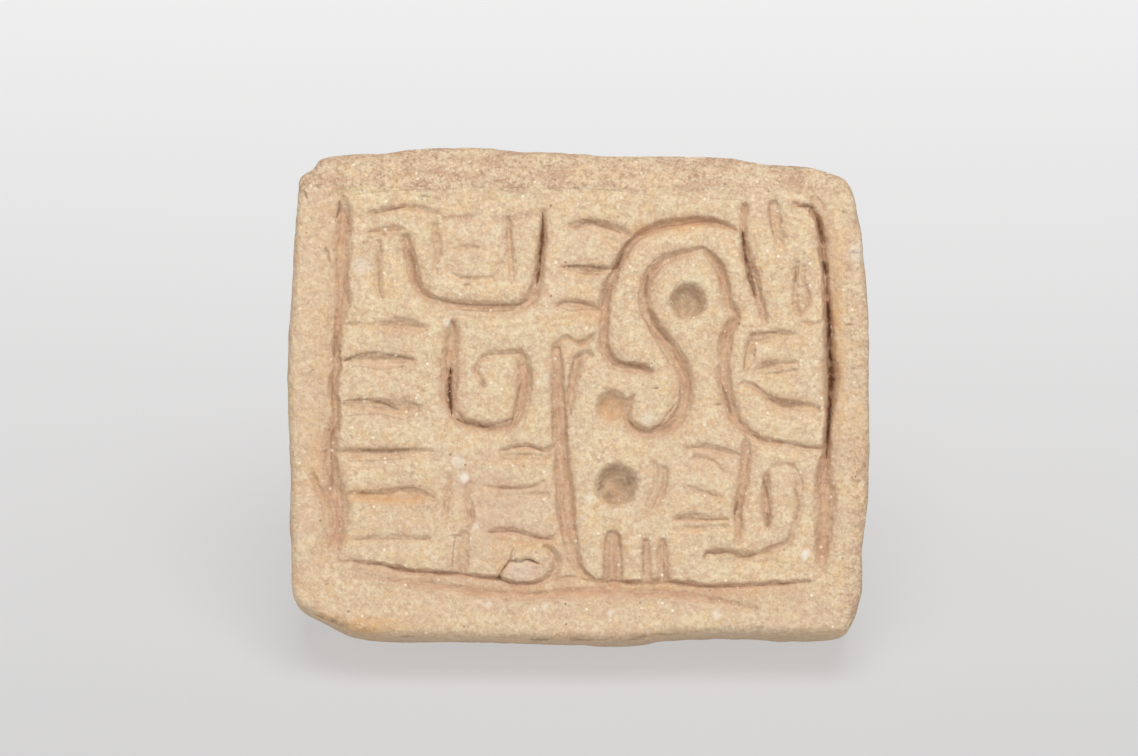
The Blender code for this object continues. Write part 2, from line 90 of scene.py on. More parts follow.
def stack_rings(name, ring, steps):
    """A closed body: the ring is filled, then drawn out level by level and scaled at each one."""
    bpy.ops.object.select_all(action="DESELECT")
    bpy.ops.mesh.primitive_circle_add(vertices=len(ring), radius=1, fill_type="NGON")
    body = bpy.context.object
    body.name = name
    (scale_x, scale_y, level), *rest = steps
    for vertex, (x, y) in zip(body.data.vertices, ring):
        vertex.co = (x * scale_x, y * scale_y, level)
    bpy.ops.object.mode_set(mode="EDIT")
    bpy.ops.mesh.select_all(action="SELECT")
    for next_x, next_y, next_level in rest:
        bpy.ops.mesh.extrude_region_move(
            TRANSFORM_OT_translate={"value": (0, 0, next_level - level)}
        )
        bpy.ops.transform.resize(
            value=(next_x / scale_x, next_y / scale_y, 1), center_override=(0, 0, next_level)
        )
        scale_x, scale_y, level = next_x, next_y, next_level
    bpy.ops.mesh.select_all(action="SELECT")
    bpy.ops.mesh.normals_make_consistent(inside=False)
    bpy.ops.object.mode_set(mode="OBJECT")
    return body


slab_ring = smooth_path(np.array(OUTLINE) * SQUARE + PANEL_CORNER, 0.8, closed=True)
half_width, half_height = np.ptp(slab_ring, axis=0) / 2
slab_steps = []
for turn in np.linspace(0, math.pi / 2, 7):
    inset = EDGE_ROUND * (1 - math.sin(turn))
    level = EDGE_ROUND * (1 - math.cos(turn)) - THICKNESS
    slab_steps.append((1 - inset / half_width, 1 - inset / half_height, level))
slab_steps += [(x, y, -THICKNESS - level) for x, y, level in reversed(slab_steps)]
stamp = stack_rings("clay_stamp", slab_ring, slab_steps)

# The handle: a stem of the same clay, rolled between finger and thumb, pressed on a little
# below the middle of the back and flared into it while both were wet.
HANDLE_DROP = 2.0
HANDLE_PROFILE = (
    (12.5, 4.0), (12.5, 0.0), (12.2, -0.7), (11.1, -2.2), (9.8, -4.0), (8.9, -6.0), (8.4, -9.0),
    (8.5, -13.0), (8.9, -19.0), (9.5, -25.0), (10.0, -29.5), (9.8, -31.0), (9.1, -32.2),
    (8.0, -32.8), (6.5, -33.0),
)

turns = np.linspace(0, 2 * math.pi, 72, endpoint=False)
stem_ring = np.column_stack([np.cos(turns), np.sin(turns)])
stem_steps = [(radius, radius, depth - THICKNESS) for radius, depth in HANDLE_PROFILE]
stem = stack_rings("stem", stem_ring, stem_steps)
stem.data.transform(Matrix.Translation((0, -HANDLE_DROP, 0)))

# Slab and stem are one lump of clay: both are joined and given one skin, fine enough on the
# carved side to take the marks of the tools.
SKIN = 0.5
CARVED_SIDE = -1.9
FACE_CUTS = 2

bpy.ops.object.select_all(action="DESELECT")
stem.select_set(True)
stamp.select_set(True)
bpy.context.view_layer.objects.active = stamp
bpy.ops.object.join()
stamp.data.remesh_voxel_size = SKIN
bpy.ops.object.voxel_remesh()


def read_points(mesh):
    points = np.empty(3 * len(mesh.vertices), np.float32)
    mesh.vertices.foreach_get("co", points)
    return points.reshape(-1, 3).astype(float)


def write_points(mesh, points):
    mesh.vertices.foreach_set("co", points.astype(np.float32).ravel())
    mesh.update()


heights = read_points(stamp.data)[:, 2]
chosen = [min(heights[list(face.vertices)]) > CARVED_SIDE for face in stamp.data.polygons]
stamp.data.polygons.foreach_set("select", chosen)
bpy.ops.object.mode_set(mode="EDIT")
bpy.ops.mesh.select_mode(type="FACE")
bpy.ops.object.mode_set(mode="OBJECT")
stamp.data.polygons.foreach_set("select", chosen)
bpy.ops.object.mode_set(mode="EDIT")
bpy.ops.mesh.subdivide(number_cuts=FACE_CUTS)
bpy.ops.object.mode_set(mode="OBJECT")

# The surface before carving: patted and scraped by hand, so no side is quite flat. The slab
# sags and swells by a few tenths of a millimetre, and sand makes it rough all over. The face was
# pressed flatter than the rest.
SWELLS = ((0.2, 11, 1), (0.14, 4.5, 2), (0.1, 2, 7))
SAND = ((0.075, 1.6, 3), (0.055, 0.75, 4))
PRESSED = 0.55


def lumps(points, size, seed):
    """Smooth random heights from -1 to 1 at the points, for lumps of about this size."""
    lattice = np.random.default_rng(seed).uniform(-1, 1, (32, 32, 32))
    place = points / size + 5.37 * seed
    cell = np.floor(place).astype(int)
    part = place - cell
    part = part * part * (3 - 2 * part)
    height = np.zeros(len(points))
    for corner in np.ndindex(2, 2, 2):
        share = np.prod(np.where(corner, part, 1 - part), axis=1)
        height += share * lattice[tuple(((cell + corner) % 32).T)]
    return height


def layered(points, layers):
    """Lumps of several sizes on top of each other: each layer has its height, size and seed."""
    return sum(height * lumps(points, size, seed) for height, size, seed in layers)


def ease(values, low, high):
    """0 below low and 1 above high, with a smooth rise between."""
    t = np.clip((values - low) / (high - low), 0, 1)
    return t * t * (3 - 2 * t)


# The carving: strokes of a pointed stick and presses of a hollow reed, cut in stiff clay. Each
# is a line of points across the squares, with the width of the stroke at each. Before them
# come its depth in millimetres and how strongly it is tinted a darker pinkish brown, which is
# partly brown dirt left in it and partly painted shade in the groove and on its shoulders.
STROKES = {
    "brow": (0.55, 0.5, (28, 369, 4), (47, 373, 6), (63, 376, 6), (77, 374, 6), (97, 369, 4)),
    "hook_top": (0.4, 0.45, (28, 350, 4), (45, 354, 6), (62, 353, 4)),
    "hook_under": (0.35, 0.3, (28, 345, 3), (40, 348, 4), (62, 348, 3)),
    "hook_corner": (0.3, 0.2, (28, 345, 4), (26, 334, 4), (26, 324, 3)),
    "hook_stem": (0.6, 0.35, (36, 340, 6), (36, 320, 7), (36, 300, 7), (38, 290, 6),
        (41, 280, 3)),
    "dent": (0.4, 0.1, (24, 328, 8), (19, 316, 10), (20, 308, 7)),
    "left_mark": (0.3, 0.5, (-15, 333, 4), (-13, 322, 4)),
    "outer_u": (1.1, 0.65, (63, 346, 9), (66, 330, 11), (70, 315, 12), (73, 303, 11), (79, 292, 9),
        (88, 284, 8), (105, 279, 9), (120, 277, 10), (150, 275, 10), (172, 275, 10),
        (183, 279, 10), (190, 288, 12), (195, 303, 10), (197, 320, 9), (199, 335, 9),
        (200, 350, 9), (201, 362, 5), (201, 372, 3)),
    "outer_u_lip": (0.3, 0.2, (100, 270, 4), (130, 266, 4), (160, 264, 4), (180, 268, 4),
        (188, 276, 3)),
    "inner_u_left": (0.8, 0.45, (92, 358, 5), (95, 340, 7), (94, 325, 6), (92, 310, 3)),
    "inner_u_foot": (0.5, 0.2, (101, 322, 4), (107, 309, 5), (118, 304, 5), (140, 303, 5),
        (153, 306, 6), (160, 316, 7), (164, 326, 7)),
    "inner_u_right": (0.8, 0.4, (165, 363, 7), (167, 345, 8), (168, 330, 9), (169, 315, 7),
        (170, 303, 3)),
    "inner_u_tip": (0.35, 0.35, (165, 362, 9), (178, 364, 9), (192, 368, 6)),
    "tick_high": (0.3, 0.45, (100, 364, 3), (112, 365, 4), (126, 365, 3)),
    "tick_low": (0.4, 0.35, (109, 332, 4), (122, 335, 6), (134, 334, 4)),
    "comb_1": (0.3, 0.2, (2, 257, 4), (38, 257, 4)),
    "comb_1_end": (0.8, 0.55, (40, 257, 8), (50, 257, 14), (62, 257, 17), (71, 256, 15),
        (79, 255, 6)),
    "comb_2": (0.9, 0.45, (3, 221, 5), (15, 222, 9), (30, 222, 13), (45, 222, 15), (58, 222, 13),
        (69, 222, 6)),
    "comb_3": (0.9, 0.5, (5, 176, 8), (20, 176, 12), (40, 175, 15), (60, 174, 19), (70, 174, 14),
        (77, 174, 6)),
    "comb_4": (0.9, 0.5, (0, 130, 6), (20, 129, 10), (45, 128, 13), (60, 129, 12), (68, 130, 8),
        (90, 130, 3)),
    "comb_5": (0.7, 0.45, (8, 87, 8), (25, 87, 9), (45, 88, 9), (60, 90, 12), (75, 88, 13),
        (88, 84, 8)),
    "comb_6": (0.4, 0.35, (12, 43, 4), (30, 43.5, 5), (50, 44, 6), (70, 43.5, 6), (86, 43, 4)),
    "spiral": (1.35, 0.75, (110, 258, 8), (110, 245, 13), (108, 230, 16), (107, 212, 17),
        (107, 195, 17), (108, 180, 15), (112, 168, 11), (120, 160, 9), (133, 156, 9),
        (148, 154, 9), (165, 157, 9), (174, 164, 10), (178, 177, 13), (181, 192, 15),
        (182, 207, 14), (181, 220, 11), (178, 230, 6)),
    "spiral_top": (0.6, 0.35, (178, 230, 5), (163, 229, 5), (150, 228, 5), (142, 225, 5),
        (136, 219, 5), (134, 211, 5), (138, 204, 5), (140, 198, 5)),
    "spiral_lip": (0.35, 0.25, (122, 153, 4), (135, 150, 4), (150, 149, 4), (166, 151, 4),
        (176, 157, 3)),
    "parting": (1.35, 0.8, (213, 232, 9), (215, 215, 11), (215, 200, 12), (216, 185, 13),
        (217, 165, 14), (217, 150, 14), (219, 130, 13), (220, 110, 15), (222, 90, 17),
        (223, 70, 18), (226, 50, 14), (229, 35, 12), (233, 20, 10), (239, 10, 8), (247, 4, 6)),
    "parting_fork": (1, 0.6, (249, 227, 5), (242, 228, 7), (236, 224, 9), (233, 213, 10),
        (230, 200, 10), (228, 185, 9), (225, 170, 7)),
    "parting_top": (0.7, 0.5, (212, 230, 6), (215, 239, 6), (221, 244, 5), (228, 243, 4),
        (236, 238, 6), (243, 241, 6), (251, 247, 5)),
    "dash_high": (0.6, 0.4, (157, 131, 3), (165, 133, 4), (175, 135, 5), (187, 135, 4),
        (197, 132, 5), (206, 133, 5), (212, 138, 5)),
    "dash_high_floor": (0.45, 0.25, (162, 124, 10), (185, 124, 12), (206, 124, 10)),
    "dash_middle": (0.4, 0.35, (146, 95, 3), (160, 94, 4), (178, 94, 4), (193, 96, 4),
        (202, 100, 3)),
    "dash_middle_floor": (0.35, 0.15, (160, 87, 8), (185, 86, 10), (204, 87, 8)),
    "dash_low": (0.5, 0.5, (147, 50, 3), (158, 51, 5), (170, 51, 5), (181, 48, 5), (193, 44, 5),
        (203, 43, 5), (212, 45, 6), (215, 51, 4)),
    "block_corner": (0.8, 0.5, (203, 36, 5), (210, 29, 9), (214, 20, 11), (211, 9, 11),
        (204, 2, 9), (197, -1, 5)),
    "upright_left": (0.4, 0.35, (108, 108, 3), (106, 90, 5), (104, 75, 5), (102, 55, 3)),
    "upright_right": (0.55, 0.45, (127, 99, 4), (125, 84, 7), (128, 72, 8), (129, 60, 6),
        (126, 54, 4)),
    "upright_slot": (0.4, 0.5, (122, 48, 8), (121, 30, 10), (120, 12, 9)),
    "tuft_1": (0.9, 0.45, (228, 357, 5), (240, 358, 11), (255, 357, 13), (268, 354, 13),
        (280, 350, 11), (293, 346, 6)),
    "tuft_1_lip": (0.3, 0.2, (262, 345, 3), (272, 342, 4), (279, 337, 3)),
    "tuft_2": (0.9, 0.45, (220, 315, 4), (232, 313, 10), (247, 311, 12), (262, 312, 9),
        (275, 315, 4)),
    "tuft_3": (0.8, 0.5, (214, 277, 5), (225, 277, 10), (240, 276, 12), (252, 272, 13),
        (262, 268, 8)),
    "head_outer": (1.25, 0.7, (392, 353, 4), (384, 357, 6), (370, 361, 8), (355, 362, 9),
        (340, 361, 9), (325, 359, 10), (312, 355, 11), (301, 350, 10), (291, 343, 9),
        (283, 333, 10), (277, 322, 11), (271, 308, 11), (265, 293, 11), (262, 280, 10),
        (262, 265, 9), (261, 250, 8), (261, 236, 9), (266, 225, 10), (275, 218, 9),
        (288, 215, 9), (300, 213, 8), (308, 211, 5)),
    "head_inner": (1.3, 0.75, (360, 334, 5), (347, 331, 7), (335, 328, 8), (322, 323, 9),
        (311, 314, 11), (304, 302, 12), (302, 288, 12), (303, 275, 12), (309, 262, 13),
        (318, 248, 14), (328, 234, 14), (336, 220, 15), (342, 206, 15), (343, 190, 15),
        (341, 176, 15), (335, 164, 14), (326, 155, 13), (313, 150, 11), (300, 149, 10),
        (290, 154, 10), (284, 163, 9), (285, 175, 8), (289, 185, 5)),
    "head_back": (1.25, 0.7, (362, 332, 7), (372, 322, 10), (379, 310, 11), (382, 294, 11),
        (386, 279, 10), (392, 266, 9), (386, 253, 12), (382, 239, 13), (381, 224, 13),
        (381, 208, 13), (383, 193, 13), (387, 178, 12), (391, 165, 11), (399, 154, 10),
        (409, 146, 8), (420, 141, 6), (440, 138, 5), (460, 135, 5), (479, 133, 4)),
    "crest": (1.2, 0.65, (402, 378, 5), (401, 365, 6), (401, 352, 8), (403, 335, 9),
        (407, 318, 11), (411, 303, 12), (414, 290, 11), (418, 275, 8), (422, 260, 5)),
    "crest_slot": (0.8, 0.5, (431, 377, 10), (432, 365, 12), (434, 352, 11), (437, 342, 7),
        (438, 336, 4)),
    "oval_left": (0.7, 0.5, (455, 320, 3), (453, 308, 5), (452, 292, 5), (453, 277, 5),
        (457, 267, 4)),
    "oval_right": (0.6, 0.45, (461, 316, 4), (460, 303, 5), (464, 290, 5), (466, 280, 5),
        (462, 270, 5), (457, 266, 4)),
    "oval_floor": (0.35, 0.2, (458, 308, 8), (458, 290, 12), (459, 275, 10)),
    "crest_tick": (0.4, 0.6, (452, 378, 4), (462, 377, 5), (469, 376, 5)),
    "crest_corner": (0.4, 0.5, (469, 392, 4), (474, 386, 6), (478, 379, 6), (480, 372, 5)),
    "smear": (0.35, 0.4, (436, 397, 6), (446, 401, 8), (455, 396, 7)),
    "crest_foot": (0.5, 0.4, (462, 259, 4), (471, 257, 5), (480, 259, 5)),
    "ring_upper": (0.55, 0.5, (409, 247, 6), (420, 246, 10), (432, 247, 10), (443, 248, 7),
        (453, 247, 4)),
    "ring_inner": (0.6, 0.4, (411, 240, 5), (423, 243, 5), (436, 246, 5), (446, 247, 3)),
    "ring_left": (0.8, 0.4, (410, 245, 6), (407, 236, 10), (406, 227, 10), (404, 218, 8),
        (402, 211, 4)),
    "ring_bar": (0.6, 0.5, (414, 213, 7), (421, 216, 11), (430, 217, 11), (441, 218, 8),
        (453, 219, 4)),
    "ring_bar_floor": (0.4, 0.3, (415, 209, 5), (428, 208, 7), (440, 209, 7), (452, 212, 4)),
    "ring_foot": (1, 0.6, (399, 198, 3), (407, 197, 4), (415, 192, 5), (423, 185, 7),
        (431, 180, 10), (441, 177, 12), (453, 177, 11), (465, 175, 9), (474, 173, 5)),
    "beak_left": (0.5, 0.35, (313, 118, 3), (313, 105, 4), (312, 95, 5), (308, 85, 5),
        (304, 75, 4), (302, 67, 3)),
    "beak_right": (0.6, 0.4, (321, 114, 3), (322, 103, 5), (320, 92, 5), (315, 82, 5),
        (310, 73, 3)),
    "hook_back": (1.1, 0.65, (403, 143, 6), (402, 130, 9), (402, 115, 10), (400, 98, 10),
        (396, 83, 10), (394, 71, 9), (395, 58, 7), (394, 47, 4), (391, 40, 2)),
    "hook_slot": (1, 0.6, (423, 107, 5), (422, 95, 9), (422, 82, 10), (424, 68, 9), (424, 58, 6),
        (423, 51, 2)),
    "hook_arch": (0.5, 0.4, (424, 110, 4), (432, 115, 5), (444, 117, 5), (452, 110, 6),
        (455, 98, 8), (454, 84, 9), (454, 72, 8), (451, 58, 7), (448, 46, 5)),
    "hook_sweep": (0.8, 0.5, (361, 26, 3), (365, 30, 5), (373, 30, 6), (383, 31, 5), (393, 28, 6),
        (402, 26, 7), (412, 28, 6), (424, 31, 6), (435, 36, 6), (443, 40, 5), (448, 46, 5)),
    "hook_sweep_lip": (0.25, 0.15, (375, 23, 4), (395, 21, 4), (411, 20, 4), (432, 21, 4)),
    "side_dash_1": (0.6, 0.5, (345, 134, 4), (357, 135, 8), (370, 133, 8), (383, 130, 8),
        (393, 127, 6)),
    "side_dash_1_under": (0.4, 0.3, (352, 125, 4), (362, 123, 5), (372, 117, 5), (380, 109, 4)),
    "side_dash_2": (0.4, 0.3, (345, 95, 3), (356, 91, 5), (367, 87, 5), (379, 84, 3)),
    "side_dash_3": (0.6, 0.45, (333, 63, 4), (343, 65, 7), (354, 64, 8), (366, 62, 6),
        (383, 63, 4)),
    "side_dash_3_floor": (0.4, 0.2, (341, 53, 6), (354, 53, 8), (370, 55, 7), (388, 54, 5)),
    "toe_1": (0.55, 0.9, (270, 44, 13), (270, 35, 16), (270, 19, 17), (270, 3, 17)),
    "toe_2": (0.6, 0.7, (303, 40, 5), (303, 30, 8), (303, 18, 8), (304, 4, 8)),
    "toe_3": (0.6, 0.75, (319, 40, 6), (319, 28, 9), (320, 15, 10), (321, 4, 9)),
    "left_valley": (0.7, 0.75, (-8, 168, 8), (-12, 150, 12), (-13, 130, 16), (-11, 110, 20),
        (-9, 90, 22), (-8, 70, 20), (-9, 50, 15), (-10, 28, 9)),
    "foot_line": (0.3, 0.75, (16, 9, 4), (43, 3, 6), (64, 1, 6), (110, -5, 7), (152, -10, 7),
        (193, -12, 7), (234, -8, 6), (261, -8, 7), (292, -10, 8), (323, -11, 8), (345, -12, 8),
        (364, -16, 7), (390, -22, 6), (412, -26, 4)),
    "foot_line_high": (0.15, 0.4, (110, 2, 5), (170, -8, 6), (230, -2, 6),
        (300, -6, 7), (350, -8, 6)),
    "edge_left_outer": (0.7, 0.5, (-29, 107, 4), (-25, 98, 7), (-20, 87, 8), (-17, 75, 7),
        (-15, 60, 6), (-13, 44, 5), (-11, 31, 4), (-10, 21, 3)),
}
FLAT_FLOORED = ("toe_1", "toe_2", "toe_3", "upright_slot", "crest_slot", "parting")

# Where the tool's point dug deeper, or the clay tore along it: thin dark lines, cut a little
# deeper and painted dark brown, which is painted shade of the narrow slits together with dirt.
# Before the points comes how dark and deep the line is.
SHADED_LINES = {
    "edge_left_top": (0.6, (-3, 380, 3), (-4, 373, 3), (-6, 366, 2)),
    "edge_left_1": (0.4, (-7, 246, 4), (-8, 236, 4), (-8, 228, 3)),
    "edge_left_2": (0.4, (-10, 206, 3), (-10, 188, 3)),
    "edge_left_3": (0.4, (-9, 152, 2), (-11, 145, 4), (-11, 133, 3), (-10, 115, 3), (-10, 104, 4),
        (-10, 90, 3)),
    "left_mark": (0.35, (-16, 333, 3), (-13, 323, 3)),
    "brow": (0.5, (32, 370, 2), (45, 373, 2), (60, 376, 2)),
    "hook": (0.3, (30, 351, 2), (45, 353, 2), (58, 353, 2)),
    "hook_stem": (0.3, (35, 330, 2), (36, 310, 3), (36, 298, 3), (39, 287, 2)),
    "outer_u_left": (0.35, (67, 332, 5), (70, 318, 6), (73, 303, 5), (78, 293, 3), (86, 286, 2),
        (96, 284, 2)),
    "outer_u_foot_1": (0.3, (96, 284, 2), (105, 281, 2), (120, 279, 2), (150, 278, 2),
        (176, 279, 2), (184, 283, 2)),
    "outer_u_foot_2": (0.35, (120, 273, 2), (150, 272, 2), (172, 273, 2)),
    "outer_u_right": (0.9, (200, 368, 1), (200, 355, 3), (200, 349, 5), (199, 339, 5),
        (197, 325, 4), (197, 317, 3), (195, 306, 4), (194, 300, 1)),
    "outer_u_right_2": (0.3, (196, 330, 2), (193, 313, 2)),
    "comb_2": (0.45, (3, 222, 2), (12, 226, 3), (22, 229, 3), (35, 230, 3), (48, 228, 3),
        (58, 226, 2), (68, 224, 2)),
    "comb_2_under": (0.25, (10, 217, 2), (25, 215, 2), (40, 213, 2), (50, 214, 2), (60, 216, 2)),
    "comb_3": (0.5, (5, 182, 2), (20, 183, 3), (30, 182, 3), (40, 180, 3), (47, 177, 3),
        (55, 174, 3)),
    "comb_3_under": (0.25, (5, 166, 2), (20, 168, 2), (40, 168, 2), (52, 165, 2), (62, 163, 2),
        (72, 168, 2), (77, 174, 2), (72, 179, 2)),
    "comb_4": (0.4, (20, 132, 3), (35, 132, 4), (50, 132, 4), (65, 133, 3)),
    "comb_4_under": (0.25, (10, 121, 2), (35, 122, 2), (60, 124, 2)),
    "comb_5": (0.35, (18, 90, 3), (31, 89, 3), (48, 89, 2), (60, 94, 2), (70, 95, 2)),
    "comb_6": (0.3, (14, 43.5, 2), (40, 44, 2), (84, 43, 2)),
    "spiral_left": (1, (108, 212, 3), (107, 200, 4), (107, 190, 5), (108, 178, 4), (109, 170, 2)),
    "spiral_foot": (0.6, (115, 163, 2), (122, 160, 3), (133, 158, 4), (143, 156, 3),
        (150, 157, 1)),
    "spiral_right": (0.35, (170, 163, 2), (173, 175, 3), (176, 190, 3), (178, 199, 2)),
    "spiral_outer": (0.2, (182, 160, 2), (187, 178, 2), (190, 200, 2), (188, 222, 2),
        (183, 232, 2)),
    "spiral_top": (0.3, (178, 230, 2), (163, 229, 2), (148, 228, 2)),
    "spiral_dot": (0.5, (139, 199, 4), (141, 197, 4)),
    "dash_high": (0.4, (160, 131, 2), (172, 135, 2), (186, 136, 2), (196, 133, 2), (205, 131, 2),
        (211, 136, 2)),
    "dash_middle": (0.3, (158, 94, 2), (180, 94, 2), (195, 97, 2)),
    "dash_low": (0.4, (148, 50, 2), (170, 51, 2), (193, 45, 2), (210, 43, 2)),
    "crack": (0.8, (157, 4, 4), (158, 9, 2), (162, 15, 2), (168, 22, 3), (173, 21, 3),
        (179, 21, 3), (185, 23, 3), (191, 21, 2), (196, 19, 1)),
    "crack_branch": (0.4, (168, 22, 2), (169, 30, 2), (171, 34, 1)),
    "bottom_left": (0.5, (26, 19, 1), (39, 18, 3), (50, 15, 2), (60, 13, 5), (72, 11, 2),
        (90, 10, 2), (106, 9, 5), (118, 9, 2), (128, 7, 2), (140, 5, 2), (156, 4, 5)),
    "bottom_flake": (0.5, (158, 4, 2), (166, 0, 2), (179, -1, 3), (191, -1, 2), (199, 2, 1)),
    "bottom_middle": (0.45, (240, 4, 1), (257, 1, 3), (271, 2, 2), (279, 1, 4), (292, -1, 4),
        (300, 0, 4), (312, 0, 4), (323, 1, 2), (338, -1, 4), (348, -3, 3), (360, -4, 3),
        (390, -4, 2)),
    "bottom_right": (0.4, (390, -4, 1), (411, -3, 1), (429, -2, 3), (437, -1, 3), (444, -1, 3),
        (455, 0, 1), (464, 1, 5)),
    "crease": (0.22, (10, 388, 1), (30, 391, 2), (60, 393, 1), (150, 396, 1), (200, 395, 1),
        (245, 395, 2), (258, 394, 2), (275, 393, 2), (290, 390, 1), (310, 388, 1), (330, 389, 1),
        (350, 386, 1), (400, 383, 1)),
    "tuft_1a": (0.4, (232, 356, 2), (245, 361, 3), (258, 358, 3), (268, 355, 3), (275, 352, 2)),
    "tuft_1b": (0.3, (238, 364, 2), (252, 362, 2)),
    "tuft_1c": (0.3, (232, 354, 3), (240, 352, 2)),
    "tuft_1d": (0.25, (280, 357, 2), (286, 363, 2)),
    "tuft_2": (0.5, (222, 316, 2), (232, 317, 3), (245, 317, 3), (258, 315, 3), (275, 315, 2)),
    "tuft_2_pits": (0.3, (238, 310, 3), (255, 309, 3)),
    "tuft_3a": (0.4, (215, 277, 2), (222, 281, 2), (235, 280, 2), (250, 277, 2)),
    "tuft_3b": (0.3, (216, 276, 2), (228, 272, 2), (245, 274, 2), (258, 273, 2)),
    "head_outer_pit_1": (0.7, (280, 329, 3), (275, 318, 4)),
    "head_outer_pit_2": (0.5, (263, 290, 4), (260, 278, 3)),
    "beak_top": (0.28, (264, 228, 2), (271, 221, 3), (280, 219, 3), (290, 220, 3), (299, 219, 2)),
    "beak_under": (0.25, (265, 224, 2), (271, 218, 3), (280, 216, 3), (290, 216, 3), (298, 215, 2),
        (305, 210, 1)),
    "head_outer_top": (0.35, (340, 360, 2), (352, 362, 2), (365, 362, 3), (375, 361, 2),
        (385, 357, 1)),
    "head_outer_edge": (0.3, (300, 349, 2), (320, 357, 2), (340, 359, 2)),
    "head_inner_left": (0.5, (305, 306, 3), (303, 297, 3), (303, 289, 3)),
    "head_inner_neck": (0.35, (308, 264, 2), (313, 256, 3), (321, 247, 3), (329, 237, 2)),
    "head_inner_neck_2": (0.3, (303, 262, 2), (309, 248, 2), (316, 236, 2), (326, 220, 2)),
    "head_inner_crack": (0.5, (331, 177, 1), (325, 169, 2), (321, 164, 3), (318, 159, 2),
        (312, 154, 1)),
    "head_inner_foot": (0.35, (310, 153, 2), (300, 152, 2), (291, 157, 2), (285, 162, 2)),
    "head_back_core": (0.5, (380, 195, 3), (383, 186, 5), (386, 175, 4), (388, 168, 2)),
    "head_back_tail": (0.35, (411, 147, 2), (420, 142, 2), (432, 141, 2), (450, 138, 2),
        (463, 135, 2), (477, 134, 1)),
    "crest": (0.9, (400, 350, 3), (401, 340, 4), (403, 325, 4), (405, 317, 5), (407, 306, 5),
        (410, 296, 4), (412, 288, 3)),
    "crest_slot": (0.3, (427, 374, 2), (428, 360, 2), (431, 347, 2)),
    "oval": (0.5, (453, 311, 3), (452, 302, 2)),
    "crest_tick": (0.6, (455, 377, 2), (465, 377, 4), (470, 376, 2)),
    "edge_right_1": (0.8, (475, 364, 2), (477, 356, 4), (479, 345, 4), (480, 340, 1)),
    "edge_right_2": (0.5, (479, 335, 2), (480, 325, 2), (481, 320, 3)),
    "edge_right_3": (0.9, (482, 318, 4), (483, 311, 5)),
    "edge_right_4": (0.5, (484, 305, 2), (484, 285, 2)),
    "edge_right_5": (1, (485, 280, 3), (486, 262, 5), (486, 245, 5), (487, 228, 5), (488, 212, 8),
        (488, 198, 8), (487, 183, 5), (486, 170, 4), (485, 155, 3), (484, 140, 3), (483, 125, 1)),
    "ring_spot": (0.4, (410, 248, 4), (412, 249, 3)),
    "ring": (0.3, (412, 249, 2), (430, 250, 2), (445, 248, 2)),
    "ring_left": (0.3, (408, 243, 2), (403, 231, 2), (401, 215, 2)),
    "ring_bar": (0.4, (416, 214, 2), (424, 216, 4), (431, 217, 3)),
    "ring_foot": (0.45, (425, 184, 2), (433, 180, 3), (441, 177, 4), (448, 177, 4), (456, 178, 2)),
    "hook_back": (0.6, (394, 80, 3), (392, 73, 4), (391, 68, 2)),
    "hook_slot_a": (0.4, (420, 103, 2), (423, 92, 4), (424, 86, 3)),
    "hook_slot_b": (0.5, (424, 68, 3), (424, 58, 4)),
    "hook_sweep_a": (0.4, (361, 26, 2), (364, 30, 2), (373, 29, 2), (383, 31, 2), (392, 28, 2)),
    "hook_sweep_b": (0.35, (392, 26, 2), (402, 26, 2), (410, 28, 2)),
    "hook_arm": (0.35, (452, 92, 3), (455, 78, 4), (452, 64, 3)),
    "side_dash_1": (0.25, (347, 134, 2), (358, 136, 2), (372, 133, 2), (390, 128, 2)),
    "side_dash_3": (0.3, (336, 64, 2), (352, 63, 3), (362, 63, 2), (382, 63, 1)),
    "toe_1": (0.2, (261, 5, 2), (261, 20, 2), (262, 36, 2), (264, 49, 2), (269, 52, 3),
        (275, 50, 3), (277, 40, 4), (279, 20, 2), (279, 5, 2)),
    "toe_2": (0.3, (300, 36, 2), (300, 20, 2), (301, 8, 2)),
    "toe_3": (0.4, (321, 18, 3), (321, 5, 3)),
    "grain_1": (0.5, (505, 258, 3), (507, 258, 3)),
    "grain_2": (0.5, (373, 178, 3), (375, 178, 3)),
    "grain_3": (0.6, (312, 194, 2), (314, 194, 2)),
    "grain_4": (0.5, (122, 298, 3), (126, 298, 3)),
    "grain_5": (0.5, (206, 418, 3), (208, 418, 3)),
    "grain_6": (0.5, (82, 387, 3), (84, 387, 3)),
    "grain_7": (0.5, (-36, 386, 3), (-38, 392, 3)),
    "grain_8": (0.6, (509, 330, 2), (512, 330, 3)),
    "grain_9": (0.5, (499, 372, 2), (501, 371, 3)),
    "chip_1": (0.45, (-9, -38, 4), (-6, -38, 3)),
    "chip_2": (0.4, (-1, -42, 4), (2, -42, 3)),
    "chip_3": (0.5, (60, -54, 3), (72, -54, 2)),
    "chip_4": (0.5, (190, -56, 3), (205, -56, 2)),
    "chip_5": (0.4, (-34, -31, 2), (-20, -34, 3)),
    "fold_1": (0.35, (228, -56, 2), (281, -58, 3), (302, -53, 3), (323, -51, 2), (354, -53, 3),
        (392, -52, 2)),
    "slot_top": (0.4, (111, 47, 3), (116, 47, 3)),
    "slot_line": (0.35, (113, 46, 2), (111, 30, 2), (110, 12, 2)),
    "upright_right": (0.35, (128, 72, 3), (129, 66, 3)),
}

